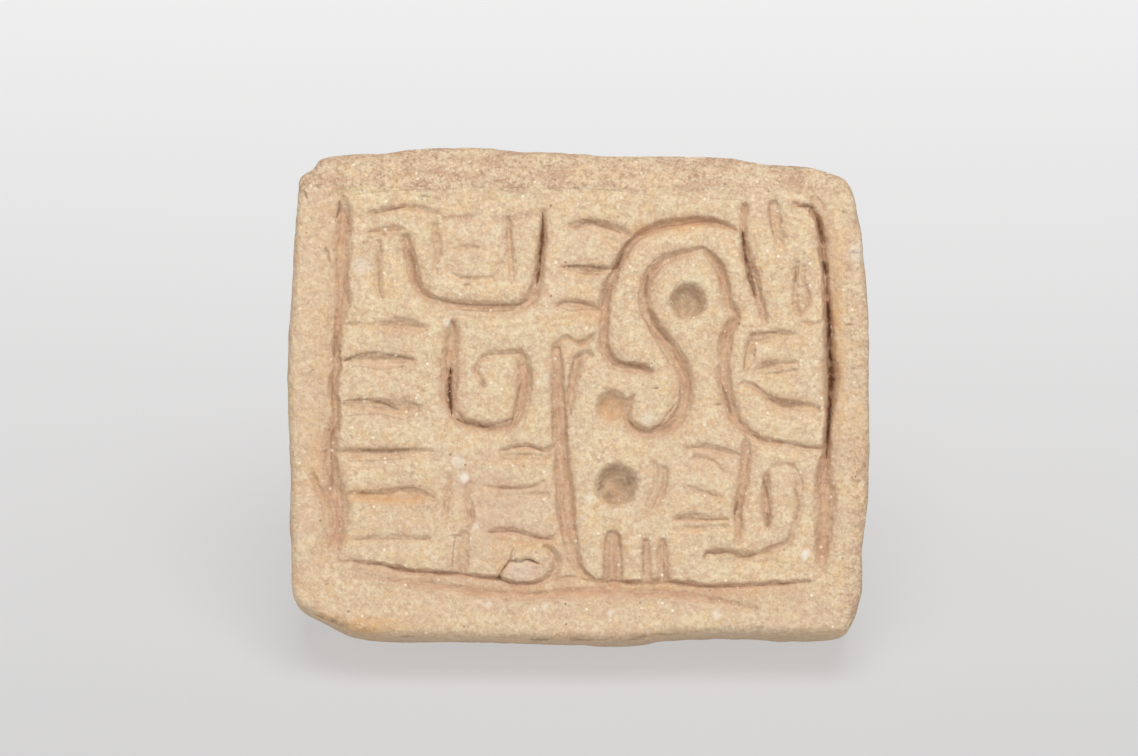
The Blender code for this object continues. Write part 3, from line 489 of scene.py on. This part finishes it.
# The groove round the panel: its steep wall is on the panel's side, and the border falls to it.
# Before the points come its depth and the width of the border's fall, in squares.
PANEL_EDGE = {
    "left": (1.0, 26, (1, 385, 6), (1, 370, 11), (0, 350, 13), (-1, 330, 13), (-1, 310, 13),
        (0, 290, 11), (1, 280, 12), (-3, 265, 10), (-6, 248, 9), (-6, 230, 8), (-5, 216, 8),
        (-9, 203, 8), (-9, 190, 8), (-6, 175, 8), (-7, 160, 10), (-11, 145, 10), (-11, 130, 11),
        (-10, 115, 12), (-9, 100, 15), (-6, 85, 20), (-4, 70, 21), (-4, 55, 18), (-6, 40, 14),
        (-8, 25, 8)),
    "bottom": (0.42, 22, (1, 21, 3), (12, 20, 4), (27, 19, 4), (39, 18, 4), (50, 15, 4),
        (60, 13, 5), (72, 11, 4), (90, 10, 4), (106, 9, 4), (118, 9, 4), (128, 7, 4), (140, 5, 4),
        (156, 4, 4), (166, 0, 4), (179, -1, 4), (191, -1, 4), (199, 2, 4), (215, 4, 4),
        (232, 5, 4), (244, 4, 4), (257, 2, 4), (271, 2, 4), (285, 0, 4), (300, 1, 4), (323, 1, 4),
        (337, -1, 4), (348, -2, 4), (362, -4, 4), (390, -4, 4), (411, -3, 4), (426, -2, 4),
        (442, -1, 4), (464, 1, 4)),
    "right": (1.35, 16, (476, 14, 8), (478, 32, 11), (480, 50, 14), (481, 70, 16), (481, 89, 16),
        (480, 105, 13), (482, 121, 9), (483, 134, 7), (484, 146, 7), (485, 158, 7), (486, 171, 8),
        (487, 183, 10), (488, 198, 12), (488, 212, 12), (487, 227, 10), (486, 239, 10),
        (486, 254, 9), (485, 270, 8), (484, 285, 7), (483, 300, 6), (482, 315, 7), (480, 330, 7),
        (480, 343, 7), (478, 355, 7), (475, 365, 6), (470, 372, 5), (469, 384, 4)),
}

# Holes pressed and turned with the reed: depth, how much dirt has settled, centre and radius.
HOLES = {
    "eye": (1.7, 0.55, 345, 281, 18.3),
    "hole_low": (1.65, 0.75, 273, 97, 21),
    "hole_middle": (1.3, 0.2, 269, 176, 16),
}

# The crease along the top of the panel, from which the top border slopes back, and the line
# along which a chip is broken from the lower left edge.
TOP_CREASE = (
    (-40, 388), (10, 389), (40, 392), (80, 395), (150, 397), (250, 395), (275, 393),
    (290, 390), (310, 388), (350, 386), (377, 385), (417, 383), (500, 380),
)
TOP_SLOPE = math.tan(math.radians(14))
CHIP = (
    (-60, -22), (-45, -25), (-31, -32), (-19, -32), (-6, -37), (4, -44), (16, -48), (31, -52),
    (45, -62),
)
CHIP_SLOPE = math.tan(math.radians(42))

# The land is pulled down beside a stroke, a share of its depth. Stroke edges wander, in squares.
SHOULDER = 0.3
RAGGED_EDGE = ((1.3, 1.0, 90), (0.9, 0.45, 91))
WALL_SHARPNESS = 2.8
LINE_DEPTH = 0.55


def from_path(path, x, y):
    """Each point's distance from the path, its place along it, and the side it lies on."""
    gap = np.full(len(x), np.inf)
    place = np.zeros(len(x))
    side = np.zeros(len(x))
    run = 0.0
    for (x0, y0), (x1, y1) in zip(path[:-1, :2], path[1:, :2]):
        along_x, along_y = x1 - x0, y1 - y0
        length = math.hypot(along_x, along_y)
        t = np.clip(((x - x0) * along_x + (y - y0) * along_y) / length**2, 0, 1)
        off_x, off_y = x - x0 - t * along_x, y - y0 - t * along_y
        distance = np.hypot(off_x, off_y)
        nearer = distance < gap
        gap[nearer] = distance[nearer]
        place[nearer] = (run + t * length)[nearer]
        side[nearer] = np.sign(along_x * off_y - along_y * off_x)[nearer]
        run += length
    return gap, place, side


def near_path(path, x, y, reach):
    """Which points lie inside the path's box, widened by the reach."""
    low, high = path[:, :2].min(axis=0) - reach, path[:, :2].max(axis=0) + reach
    return np.flatnonzero((x > low[0]) & (x < high[0]) & (y > low[1]) & (y < high[1]))


def run_of(path):
    """How far along the path each of its points lies."""
    return np.append(0, np.cumsum(np.linalg.norm(np.diff(path[:, :2], axis=0), axis=1)))


def carve(points):
    """How deep the carving goes below each point of the face, and the tool's track there.

    The track is the distance across and along the stroke in millimetres, and how much of the
    point lies in it. The line array gives the same for the thin dark lines, but across
    is a share of the line's half width. The stain is how much dirt lies in the holes.
    """
    x = (points[:, 0] - PANEL_CORNER[0]) / SQUARE
    y = (points[:, 1] - PANEL_CORNER[1]) / SQUARE
    depth = np.zeros(len(points))
    lip = np.zeros(len(points))
    track = np.zeros((len(points), 3))
    stain = np.zeros(len(points))
    wander = layered(points, RAGGED_EDGE)

    def cut_in(at, cut, across, along, share):
        """Keeps the deeper of what is there and the new cut, with its track."""
        deeper = cut > depth[at]
        depth[at[deeper]] = cut[deeper]
        track[at[deeper]] = np.column_stack([across * SQUARE, along * SQUARE, share])[deeper]

    for seed, (name, (deepest, earth_and_shade, *knots)) in enumerate(STROKES.items()):
        path = smooth_path(knots, 4)
        at = near_path(path, x, y, 24)
        gap, place, side = from_path(path, x[at], y[at])
        widths = np.interp(place, run_of(path), path[:, 2])
        drag = lumps(np.column_stack([side * gap / 2.2, place / 60, place * 0]), 1, seed + 40)
        here = deepest * (widths / path[:, 2].max()) ** 0.6
        edge = np.clip(gap + 0.6 * wander[at], 0, None)
        if name in FLAT_FLOORED:
            cut = here * np.exp(-((edge / (0.5 * widths + 1)) ** 5))
        else:
            cut = here * np.exp(-((edge / (0.4 * widths + 1.3)) ** 2.3))
        cut *= 1 + 0.25 * drag
        frayed = np.clip(gap + wander[at], 0, None)
        # How strongly the groove and its shoulders are painted darker brown: partly dirt, partly
        # painted shade.
        share = earth_and_shade * np.exp(-((frayed / (0.55 * widths + 2)) ** 2.4))
        share *= (widths / path[:, 2].max()) ** 0.4
        cut = np.maximum(cut, SHOULDER * here * np.exp(-((gap / (widths / 2 + 9)) ** 2)))
        cut_in(at, cut, side * gap, place + 90 * seed, share)
        rim = deepest * np.exp(-(((gap / (widths / 2 + 2) - 1.3) / 0.35) ** 2))
        lip[at] = np.maximum(lip[at], rim * (0.5 + 0.5 * drag))
    for seed, (deepest, fall, *knots) in enumerate(PANEL_EDGE.values()):
        path = smooth_path(knots, 4)
        at = near_path(path, x, y, fall + 8)
        gap, place, side = from_path(path, x[at], y[at])
        run = run_of(path)
        half = 0.55 * np.interp(place, run, path[:, 2]) + 0.2
        edge = np.clip(gap + wander[at], 0, None)
        wall = np.exp(-((edge / half) ** WALL_SHARPNESS))
        slope = np.clip(1 - gap / fall, 0, 1) * ease(side, -0.5, -0.9)
        ends = ease(place, 0, 16) * ease(run[-1] - place, 0, 16)
        fallen = slope**1.4 * (0.5 + 0.15 * lumps(points[at], 5, seed + 11))
        cut = deepest * np.maximum(wall * (0.35 + 0.65 * ends), fallen)
        # The groove and the border's fall take the same darker brown: partly dirt, partly painted
        # shade.
        share = np.maximum(np.exp(-((edge / (half + 2)) ** 2.4)), 0.7 * slope)
        share *= 0.75 + 0.25 * lumps(points[at], 1.7, seed + 15)
        cut_in(at, cut, side * gap, place - 300 * seed, share * (0.4 + 0.6 * ends))
    for seed, (deepest, dirt, hole_x, hole_y, radius) in enumerate(HOLES.values()):
        away = np.hypot(x - hole_x, y - hole_y)
        at = np.flatnonzero(away < 1.5 * radius)
        away = away[at] / radius
        ragged = away * (1 + 0.1 * lumps(points[at], 1.4, seed + 31))
        floor = 1 - 0.3 * np.clip(away, 0, 1) ** 2 + 0.12 * lumps(points[at], 1.3, seed + 35)
        cut = deepest * floor * np.exp(-((ragged / 0.96) ** 6))
        within = 1 - ease(away, 0.75, 1.2)
        stain[at] = within * dirt * (0.8 + 0.6 * lumps(points[at], 1.3, seed + 33))
        blots = 9 * lumps(points[at], 0.9, seed + 36), 30 * lumps(points[at], 0.9, seed + 38)
        cut_in(at, cut, *blots, 0.38 * within)
    line = np.zeros((len(points), 3))
    line[:, 0] = 9
    for seed, (dark, *knots) in enumerate(SHADED_LINES.values()):
        path = smooth_path(knots, 3)
        at = near_path(path, x, y, 8)
        gap, place, side = from_path(path, x[at], y[at])
        half = np.interp(place, run_of(path), path[:, 2]) / 2
        torn = np.exp(-((gap / (half + 0.7)) ** 2)) * (1 + 0.4 * lumps(points[at], 1.2, 77))
        depth[at] += LINE_DEPTH * dark**2 * torn
        nearer = gap / half < abs(line[at, 0])
        # The mark's last value is how strongly the line is painted dark: painted shade of the slit,
        # with dirt.
        mark = [side * gap / half, place * SQUARE + 7 * seed, dark * (1 - ease(gap, 3, 5))]
        line[at[nearer]] = np.column_stack(mark)[nearer]
    crease = np.interp(x, *np.array(TOP_CREASE).T)
    above = np.clip(y - crease, 0, None) * SQUARE
    top = np.where(above > 0, TOP_SLOPE * above, 0)
    top += 0.16 * np.exp(-(((y - crease) / 4) ** 2)) * ease(x, -10, 20) * ease(-x, -470, -430)
    broken = np.clip(np.interp(x, *np.array(CHIP).T) - y, 0, None) * SQUARE * CHIP_SLOPE
    broken *= ease(x, 45, 10) * (1 + 0.25 * lumps(points, 2.2, 81))
    land = 1 - np.clip(depth / 0.25, 0, 1)
    return np.maximum(depth, top) + broken - 0.1 * lip * land, track, line, stain


# The hand's and the sand's marks go on first, then the carving, cut straight down from the face.
points = read_points(stamp.data)
outward = np.empty(3 * len(points), np.float32)
stamp.data.vertices.foreach_get("normal", outward)
outward = outward.reshape(-1, 3).astype(float)
on_face = ease(points[:, 2], -2.6, -0.6)
swell = layered(points, SWELLS)
rough = on_face * layered(points, SAND)
top_band = on_face * ease(points[:, 1], 25.5, 28.5)
scraped = points * (0.4, 1, 1)
rough += top_band * (0.16 * lumps(scraped, 1.5, 5) + 0.09 * lumps(points, 0.8, 6))
swell *= 1 - PRESSED * on_face
cut = carve(points)[0]
shaped = points + outward * (swell + rough)[:, None]
shaped[:, 2] -= cut * on_face
write_points(stamp.data, shaped)

# What the eye can't see needs few faces, so the skin is thinned where it is plain.
MOST_TRIANGLES = 188000
triangles = sum(len(face.vertices) - 2 for face in stamp.data.polygons)
thin = stamp.modifiers.new("thin", "DECIMATE")
thin.ratio = min(1, MOST_TRIANGLES / triangles)
bpy.ops.object.select_all(action="DESELECT")
stamp.select_set(True)
bpy.context.view_layer.objects.active = stamp
bpy.ops.object.modifier_apply(modifier="thin")
bpy.ops.object.shade_smooth()

# The grooves and their shoulders are painted a darker pinkish brown where the tool went, partly
# brown dirt and partly painted shade, and grey dirt lies in the holes. Patches of the
# body are more yellow with iron, others a little pink, and a few pale grains lie in it.
PATCHES = {
    "iron": (
        (45, 352, 14, 5, 0.7), (25, 86, 30, 7, 0.8), (55, 84, 38, 7, 0.9),
        (305, 352, 14, 8, 0.8), (247, 268, 16, 9, 0.9), (240, 309, 12, 5, 0.9),
        (192, 38, 22, 6, 0.9), (162, 38, 10, 10, 0.6), (157, 14, 5, 12, 0.5),
        (268, 88, 10, 10, 0.8), (268, 174, 12, 11, 1.0), (182, 124, 25, 6, 0.3),
        (353, 51, 8, 4, 0.6), (-24, 120, 8, 30, 0.5), (-8, 396, 8, 4, 0.6),
        (60, 405, 20, 8, 0.4), (330, 404, 30, 9, 0.4), (230, 412, 40, 6, 0.5),
        (250, -8, 160, 8, 0.6), (30, -44, 36, 8, 0.95), (-20, -38, 16, 7, 1.0),
        (494, 250, 6, 90, 0.9), (345, 357, 40, 6, 0.8), (250, -58, 280, 6, 0.2),
        (515, 120, 8, 60, 0.35),
    ),
    "blush": (
        (150, 70, 60, 55, 0.8), (175, 72, 35, 14, 0.7), (182, 11, 22, 11, 1.2),
        (60, 60, 60, 50, 0.35), (340, 110, 60, 50, 0.3), (-12, 130, 10, 35, 0.6),
        (490, 300, 6, 60, 0.6), (480, 80, 9, 45, 0.45), (250, -14, 190, 9, 0.7),
        (-40, 230, 12, 60, 0.5), (60, 410, 40, 7, 0.7), (110, 418, 30, 6, 0.6),
        (175, 404, 40, 8, 0.6), (262, 414, 40, 8, 0.8), (340, 408, 40, 7, 0.6),
        (420, 400, 30, 8, 0.5), (480, 396, 20, 14, 0.5), (505, 60, 14, 60, 0.4),
        (150, -57, 200, 6, 0.25), (400, -57, 120, 6, 0.25), (20, 316, 9, 14, 0.5),
    ),
}
PALE_GRAINS = (
    (122, 105, 4.5, 0.9), (116, 121, 6, 0.6), (105, 260, 3, 0.9), (373, -33, 4, 0.8),
    (461, 28, 4, 0.9), (268, -30, 2.5, 0.8), (20, 316, 8, 0.4), (304, 163, 6, 0.4),
    (134, 56, 4, 0.5), (246, 83, 4, 0.5), (516, 330, 10, 0.4), (147, -22, 3, 0.7),
    (178, 11, 12, 0.2),
    (204, 206, 3, 0.6), (196, 200, 3, 0.6), (202, -24, 3, 0.7), (92, 24, 2.5, 0.6),
)
BORDER_BLUSH = 0.3
SIDE_BLUSH = 0.25

points = read_points(stamp.data)
track, line, stain = carve(points)[1:]
x = (points[:, 0] - PANEL_CORNER[0]) / SQUARE
y = (points[:, 1] - PANEL_CORNER[1]) / SQUARE
in_front = ease(points[:, 2], -4.5, -2.8)
colour = np.zeros((len(points), 4), np.float32)
# Red: the darker brown of the grooves, partly dirt and partly painted shade.
colour[:, 0] = track[:, 2] * in_front
line[:, 2] *= in_front
for channel, patches in enumerate(PATCHES.values(), 1):
    for patch_x, patch_y, size_x, size_y, strength in patches:
        away = ((x - patch_x) / size_x) ** 2 + ((y - patch_y) / size_y) ** 2
        colour[:, channel] = np.maximum(colour[:, channel], strength * np.exp(-away))
    colour[:, channel] *= in_front
border = np.maximum.reduce([-8 - x, x - 490, -6 - y, 1.5 * (y - 392)])
colour[:, 2] = np.maximum.reduce([
    colour[:, 2], BORDER_BLUSH * ease(border, 0, 14), SIDE_BLUSH * (1 - in_front),
])
for channel in (1, 2):
    colour[:, channel] *= 1 + 0.5 * lumps(points, 2.5, channel + 60)
worn = np.maximum(ease(y, 386, 398), 0.6 * ease(x, 490, 510)) * ease(points[:, 2], -14, -3)
colour[:, 3] = 0.35 + 0.65 * np.clip(worn + 0.4 * lumps(points, 6, 71), 0, 1)
earth_and_shade = stamp.data.color_attributes.new("earth_and_shade", "FLOAT_COLOR", "POINT")
earth_and_shade.data.foreach_set("color", np.clip(colour, 0, 1).ravel())
pale = np.zeros(len(points))
for grain_x, grain_y, radius, strength in PALE_GRAINS:
    away = np.hypot(x - grain_x, y - grain_y) / radius
    pale = np.maximum(pale, strength * (1 - ease(away, 0.6, 1.4)) * in_front)
for name, values in (("chalk", pale), ("stain", stain * in_front)):
    marks = stamp.data.attributes.new(name, "FLOAT", "POINT")
    marks.data.foreach_set("value", np.clip(values, 0, 1).astype(np.float32))
for name, values in (("track", track), ("line", line)):
    marks = stamp.data.attributes.new(name, "FLOAT_VECTOR", "POINT")
    marks.data.foreach_set("vector", values.astype(np.float32).ravel())

# The stamp is set down: its face leans back 31.8 degrees, on the lower edge of the slab and the
# tip of the stem, where both are worn flat.
LEAN = math.radians(31.834)
FACE_CENTRE = (0, -14.278, 34.321)

stand = Matrix.Translation(FACE_CENTRE) @ Matrix.Rotation(math.pi / 2 - LEAN, 4, "X")
stamp.data.transform(Matrix.Scale(0.001, 4) @ stand)
points = read_points(stamp.data)
points[:, 2] = np.maximum(points[:, 2], 0)
write_points(stamp.data, points)

# Low-fired earthenware: buff clay full of river sand, left unglazed, matt and a little porous.
# Light soaks in and comes back without a shine, except on the clean faces of a few grains.


def linear(hex_colour):
    """An sRGB hex colour as the linear colour that Blender wants."""
    parts = [int(hex_colour[at:at + 2], 16) / 255 for at in (1, 3, 5)]
    return [p / 12.92 if p < 0.04045 else ((p + 0.055) / 1.055) ** 2.4 for p in parts] + [1]


clay = bpy.data.materials.new("low-fired sandy earthenware")
clay.use_nodes = True
finish = clay
shader = clay.node_tree.nodes["Principled BSDF"]
shader.inputs["IOR"].default_value = 1.5
shader.inputs["Specular IOR Level"].default_value = 0.25


def add_node(kind, inputs, result=0, **settings):
    """A node of the finish at hand, with its settings and links. It gives back one output.

    In a Mix of colours, input 0 is the share of the second, and 6 and 7 are the two colours.
    """
    made = finish.node_tree.nodes.new("ShaderNode" + kind)
    for name, value in settings.items():
        setattr(made, name, value)
    for name, value in inputs.items():
        if isinstance(value, bpy.types.NodeSocket):
            finish.node_tree.links.new(value, made.inputs[name])
        else:
            made.inputs[name].default_value = value
    return made.outputs[result]


where = add_node("TexCoord", {}, "Object")
painted = add_node("VertexColor", {}, "Color", layer_name="earth_and_shade")
coarse = add_node("VertexColor", {}, "Alpha", layer_name="earth_and_shade")
shares = {
    name: add_node("SeparateColor", {"Color": painted}, name) for name in ("Red", "Green", "Blue")
}

# The body is mottled: each line gives the size of the clouds in millimetres, the noise levels
# between which they come in, their strength and their colour.
MOTTLES = (
    (9.0, 0.44, 0.62, 0.40, "#CDAF97"),
    (5.0, 0.48, 0.62, 0.45, "#DCBF90"),
    (3.4, 0.50, 0.62, 0.40, "#CBAC96"),
    (2.2, 0.48, 0.60, 0.45, "#DCB78A"),
    (1.5, 0.46, 0.62, 0.55, "#E0D0AF"),
    (1.0, 0.48, 0.62, 0.57, "#C2A188"),
    (0.7, 0.49, 0.63, 0.52, "#E6D7BA"),
    (0.45, 0.50, 0.66, 0.40, "#B89A7F"),
    (0.36, 0.54, 0.68, 0.35, "#E8D9BE"),
)
body = add_node("Mix", {6: linear("#D2BB99"), 7: linear("#D2BB99")}, 2, data_type="RGBA")
for layer, (size, low, high, strength, colour) in enumerate(MOTTLES):
    place = add_node("Mapping", {"Vector": where, "Location": (0.013 * layer, 0.007 * layer, 0)})
    noise = add_node("TexNoise", {
        "Vector": place, "Scale": 1000 / size, "Detail": 2.0, "Roughness": 0.6,
    })
    share = add_node("MapRange", {
        "Value": noise, "From Min": low, "From Max": high, "To Max": strength,
    })
    body = add_node("Mix", {0: share, 6: body, 7: linear(colour)}, 2, data_type="RGBA")

# The painted patches: yellow with iron, and a little pink
clouds = add_node("TexNoise", {"Vector": where, "Scale": 1000 / 1.6, "Detail": 3.0})
clouds = add_node("MapRange", {"Value": clouds, "From Min": 0.35, "From Max": 0.65, "To Min": 0.35})
for name, strength, colour in (("Blue", 0.8, "#C9A793"), ("Green", 0.8, "#D6A268")):
    share = add_node("Math", {0: shares[name], 1: clouds}, operation="MULTIPLY")
    share = add_node("Math", {0: share, 1: strength}, operation="MULTIPLY", use_clamp=True)
    body = add_node("Mix", {0: share, 6: body, 7: linear(colour)}, 2, data_type="RGBA")

# Where the clay was scraped, coarse smears drawn out sideways show the darker, redder inside
smeared = add_node("MapRange", {"Value": coarse, "From Min": 0.55, "From Max": 0.9})
for size, low, high, strength, colour in (
    (2.6, 0.46, 0.60, 0.75, "#BD9A82"),
    (1.4, 0.50, 0.64, 0.45, "#E2CDAE"),
    (0.9, 0.52, 0.66, 0.45, "#AE8F77"),
):
    place = add_node("Mapping", {"Vector": where, "Scale": (600 / size, 1000 / size, 1000 / size)})
    noise = add_node("TexNoise", {"Vector": place, "Scale": 1.0, "Detail": 4.0})
    share = add_node("MapRange", {
        "Value": noise, "From Min": low, "From Max": high, "To Max": strength,
    })
    share = add_node("Math", {0: share, 1: smeared}, operation="MULTIPLY")
    body = add_node("Mix", {0: share, 6: body, 7: linear(colour)}, 2, data_type="RGBA")

# Wherever the clay is coarse, small pits and pale crumbs lie close together
crumbled = add_node("MapRange", {"Value": coarse, "From Min": 0.3, "From Max": 1.0, "To Min": 0.05})
for size, low, high, strength, colour in (
    (0.55, 0.52, 0.64, 0.55, "#A58269"),
    (0.40, 0.54, 0.66, 0.45, "#EBDDC2"),
):
    noise = add_node("TexNoise", {"Vector": where, "Scale": 1000 / size, "Detail": 2.0})
    share = add_node("MapRange", {
        "Value": noise, "From Min": low, "From Max": high, "To Max": strength,
    })
    share = add_node("Math", {0: share, 1: crumbled}, operation="MULTIPLY")
    body = add_node("Mix", {0: share, 6: body, 7: linear(colour)}, 2, data_type="RGBA")

# A darker pinkish brown in the grooves, partly brown dirt and partly painted shade, drawn out
# along the strokes by the tool: streaks a third to two thirds of a millimetre wide, and four
# to seven times as long
track = add_node("Attribute", {}, "Vector", attribute_name="track")
for across, along, low, high, least, strength, colour in (
    (0.60, 4.0, 0.36, 0.64, 0.60, 1.00, "#B98F76"),
    (0.35, 2.0, 0.50, 0.72, 0.0, 0.45, "#9A6E52"),
    (0.45, 1.6, 0.50, 0.70, 0.0, 0.40, "#D3B698"),
):
    place = add_node("Mapping", {"Vector": track, "Scale": (1 / across, 1 / along, 0)})
    streaks = add_node("TexNoise", {"Vector": place, "Scale": 1.0, "Detail": 2.0})
    share = add_node("MapRange", {
        "Value": streaks, "From Min": low, "From Max": high, "To Min": least, "To Max": strength,
    })
    share = add_node("Math", {0: share, 1: shares["Red"]}, operation="MULTIPLY", use_clamp=True)
    body = add_node("Mix", {0: share, 6: body, 7: linear(colour)}, 2, data_type="RGBA")

# The thin lines are painted dark brown, painted shade of the narrow slits together with dirt,
# ragged at their edges, and darker in pits
line = add_node("Attribute", {}, "Vector", attribute_name="line")
parts = {name: add_node("SeparateXYZ", {"Vector": line}, name) for name in ("X", "Z")}
ragged = add_node("TexNoise", {"Vector": where, "Scale": 1000 / 0.5, "Detail": 2.0})
pits = add_node("TexNoise", {"Vector": where, "Scale": 1000 / 1.3, "Detail": 2.0})
away = add_node("Math", {0: parts["X"]}, operation="ABSOLUTE")
away = add_node("Math", {0: ragged, 1: -1.6, 2: away}, operation="MULTIPLY_ADD")
inside = add_node("MapRange", {
    "Value": away, "From Min": -0.6, "From Max": 0.7, "To Min": 1.0, "To Max": 0.0,
})
pits = add_node("MapRange", {"Value": pits, "From Min": 0.36, "From Max": 0.52, "To Min": 0.6})
share = add_node("Math", {0: parts["Z"], 1: pits}, operation="MULTIPLY")
share = add_node("Math", {0: share, 1: inside}, operation="MULTIPLY", use_clamp=True)
# The dark brown mixed in here is painted shade of the slits, with dirt.
body = add_node("Mix", {0: share, 6: body, 7: linear("#633D24")}, 2, data_type="RGBA")

# A few grains of white stone and grey lime at the surface, and grey dirt settled in the holes
blotches = add_node("TexNoise", {"Vector": where, "Scale": 1000 / 1.2, "Detail": 3.0})
blotches = add_node("MapRange", {"Value": blotches, "From Min": 0.40, "From Max": 0.60})
for name, colour, least in (("chalk", "#E6DDD0", 1.0), ("stain", "#947B64", 0.45)):
    share = add_node("Attribute", {}, "Fac", attribute_name=name)
    spread = add_node("MapRange", {"Value": blotches, "To Min": least, "To Max": 1.0})
    share = add_node("Math", {0: share, 1: spread}, operation="MULTIPLY")
    body = add_node("Mix", {0: share, 6: body, 7: linear(colour)}, 2, data_type="RGBA")

# The sand in it, each line a kind of grain: the spacing and size of the grains in millimetres,
# the share of places that hold one, and how strong and what colour they are. They stand proud.
GRAINS = (
    (0.60, 0.12, 0.35, 0.40, "#F0E4CC"),
    (1.40, 0.20, 0.35, 0.75, "#F4EBDA"),
    (0.62, 0.10, 0.45, 0.50, "#927A64"),
    (1.90, 0.17, 0.30, 0.75, "#6F5D4E"),
    (1.70, 0.24, 0.30, 0.50, "#CB9C6C"),
)
proud = None
for layer, (spacing, size, kept, strength, colour) in enumerate(GRAINS):
    place = add_node("Mapping", {"Vector": where, "Location": (0.017 * layer, 0, 0.011 * layer)})
    settings = {"Vector": place, "Scale": 1000 / spacing}
    away = add_node("TexVoronoi", settings, "Distance")
    lot = add_node("SeparateColor", {"Color": add_node("TexVoronoi", settings, "Color")}, "Red")
    radius = size / spacing
    inside = add_node("MapRange", {
        "Value": away, "From Min": 0.5 * radius, "From Max": 1.3 * radius, "To Min": strength,
        "To Max": 0.0,
    })
    picked = add_node("MapRange", {
        "Value": lot, "From Min": 0.35 * kept, "From Max": kept, "To Min": 1.0, "To Max": 0.0,
    })
    share = add_node("Math", {0: inside, 1: picked}, operation="MULTIPLY")
    body = add_node("Mix", {0: share, 6: body, 7: linear(colour)}, 2, data_type="RGBA")
    proud = add_node("Math", {0: share, 1: proud or 0.0}, operation="ADD")
clay.node_tree.links.new(body, shader.inputs["Base Color"])

# Matt, but the clean faces of the larger grains catch the light
gloss = add_node("MapRange", {"Value": proud, "From Min": 0.5, "To Min": 0.9, "To Max": 0.55})
clay.node_tree.links.new(gloss, shader.inputs["Roughness"])

# Fine pits between the grains, rougher where the painted clay is coarse
height = add_node("Math", {0: proud, 1: 0.03}, operation="MULTIPLY")
for size, rise in ((0.3, 0.06), (0.65, 0.15), (1.3, 0.2)):
    noise = add_node("TexNoise", {"Vector": where, "Scale": 1000 / size, "Detail": 2.0})
    rough = add_node("MapRange", {"Value": coarse, "To Min": 0.4 * rise, "To Max": 2.0 * rise})
    height = add_node("Math", {0: noise, 1: rough, 2: height}, operation="MULTIPLY_ADD")
relief = add_node("Bump", {"Height": height, "Distance": 0.001, "Strength": 1.0})
clay.node_tree.links.new(relief, shader.inputs["Normal"])

stamp.data.materials.clear()
stamp.data.materials.append(clay)
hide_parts("stamp")
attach(stamp, "root")

# The table: a sheet of white acrylic, matt on top, which gives off light of its own as painted
# light: more towards the back, standing in for light that falls off towards the front, and it
# fills the stamp's shadow so that the stamp throws only a weak shadow.
bpy.ops.object.select_all(action="DESELECT")
bpy.ops.mesh.primitive_plane_add(size=8, location=(0, 2.5, 0))
table = bpy.context.object
table.name = "table"
bpy.ops.object.transform_apply(location=True)
acrylic = bpy.data.materials.new("matt white acrylic")
acrylic.use_nodes = True
top = acrylic.node_tree.nodes["Principled BSDF"]
top.inputs["Base Color"].default_value = linear("#818182")
top.inputs["Roughness"].default_value = 0.95
top.inputs["Specular IOR Level"].default_value = 0.1
top.inputs["Emission Color"].default_value = linear("#FFFEFE")
finish = acrylic
spot = add_node("TexCoord", {}, "Object")
depth_in = add_node("SeparateXYZ", {"Vector": spot}, "Y")
# Painted light: the table's own light rises from front to back.
painted_glow = add_node("MapRange", {
    "Value": depth_in, "From Min": -0.1, "From Max": 0.22, "To Min": 0.38, "To Max": 0.70,
})
acrylic.node_tree.links.new(painted_glow, top.inputs["Emission Strength"])
table.data.materials.append(acrylic)

# Light: a wide softbox above, a little in front and to the right, two weak ones at the front
# corners, and a pale room.
SOFTBOXES = (
    ("overhead", (0.05, -0.22, 0.72), (0, 0, 0.03), 0.50, 4.2, "#FFFDF9"),
    ("left", (-0.60, -0.60, 0.36), (0, 0, 0.02), 0.45, 1.5, "#FFFDF9"),
    ("right", (0.60, -0.60, 0.36), (0, 0, 0.02), 0.45, 1.7, "#FFFDF9"),
)
for name, place, aim, size, watts, tint in SOFTBOXES:
    box = bpy.data.lights.new(name, "AREA")
    box.shape = "SQUARE"
    box.size = size
    box.energy = watts
    box.color = linear(tint)[:3]
    lamp = bpy.data.objects.new(name, box)
    bpy.context.scene.collection.objects.link(lamp)
    facing = (Vector(place) - Vector(aim)).to_track_quat("Z", "Y")
    lamp.matrix_world = Matrix.Translation(place) @ facing.to_matrix().to_4x4()

room = bpy.data.worlds.new("pale room")
room.use_nodes = True
room.node_tree.nodes["Background"].inputs["Color"].default_value = linear("#F7F8FA")
room.node_tree.nodes["Background"].inputs["Strength"].default_value = 0.30
bpy.context.scene.world = room
bpy.context.scene.view_settings.view_transform = "Standard"

# The camera: a long lens, 26 degrees above the table, square to the stamp from left to right.
CAMERA_RISE = math.radians(26)
FRAME_WIDTH = 0.1493
CAMERA_AWAY = 0.8
AIM = (-0.00106, -0.014278, 0.034321 + 0.0029)

lens = bpy.data.cameras.new("camera")
lens.lens = lens.sensor_width * CAMERA_AWAY / FRAME_WIDTH
camera = bpy.data.objects.new("camera", lens)
bpy.context.scene.collection.objects.link(camera)
back = Matrix.Rotation(-CAMERA_RISE, 4, "X") @ Matrix.Translation((0, -CAMERA_AWAY, 0))
camera.matrix_world = Matrix.Translation(AIM) @ back @ Matrix.Rotation(math.pi / 2, 4, "X")
bpy.context.scene.camera = camera
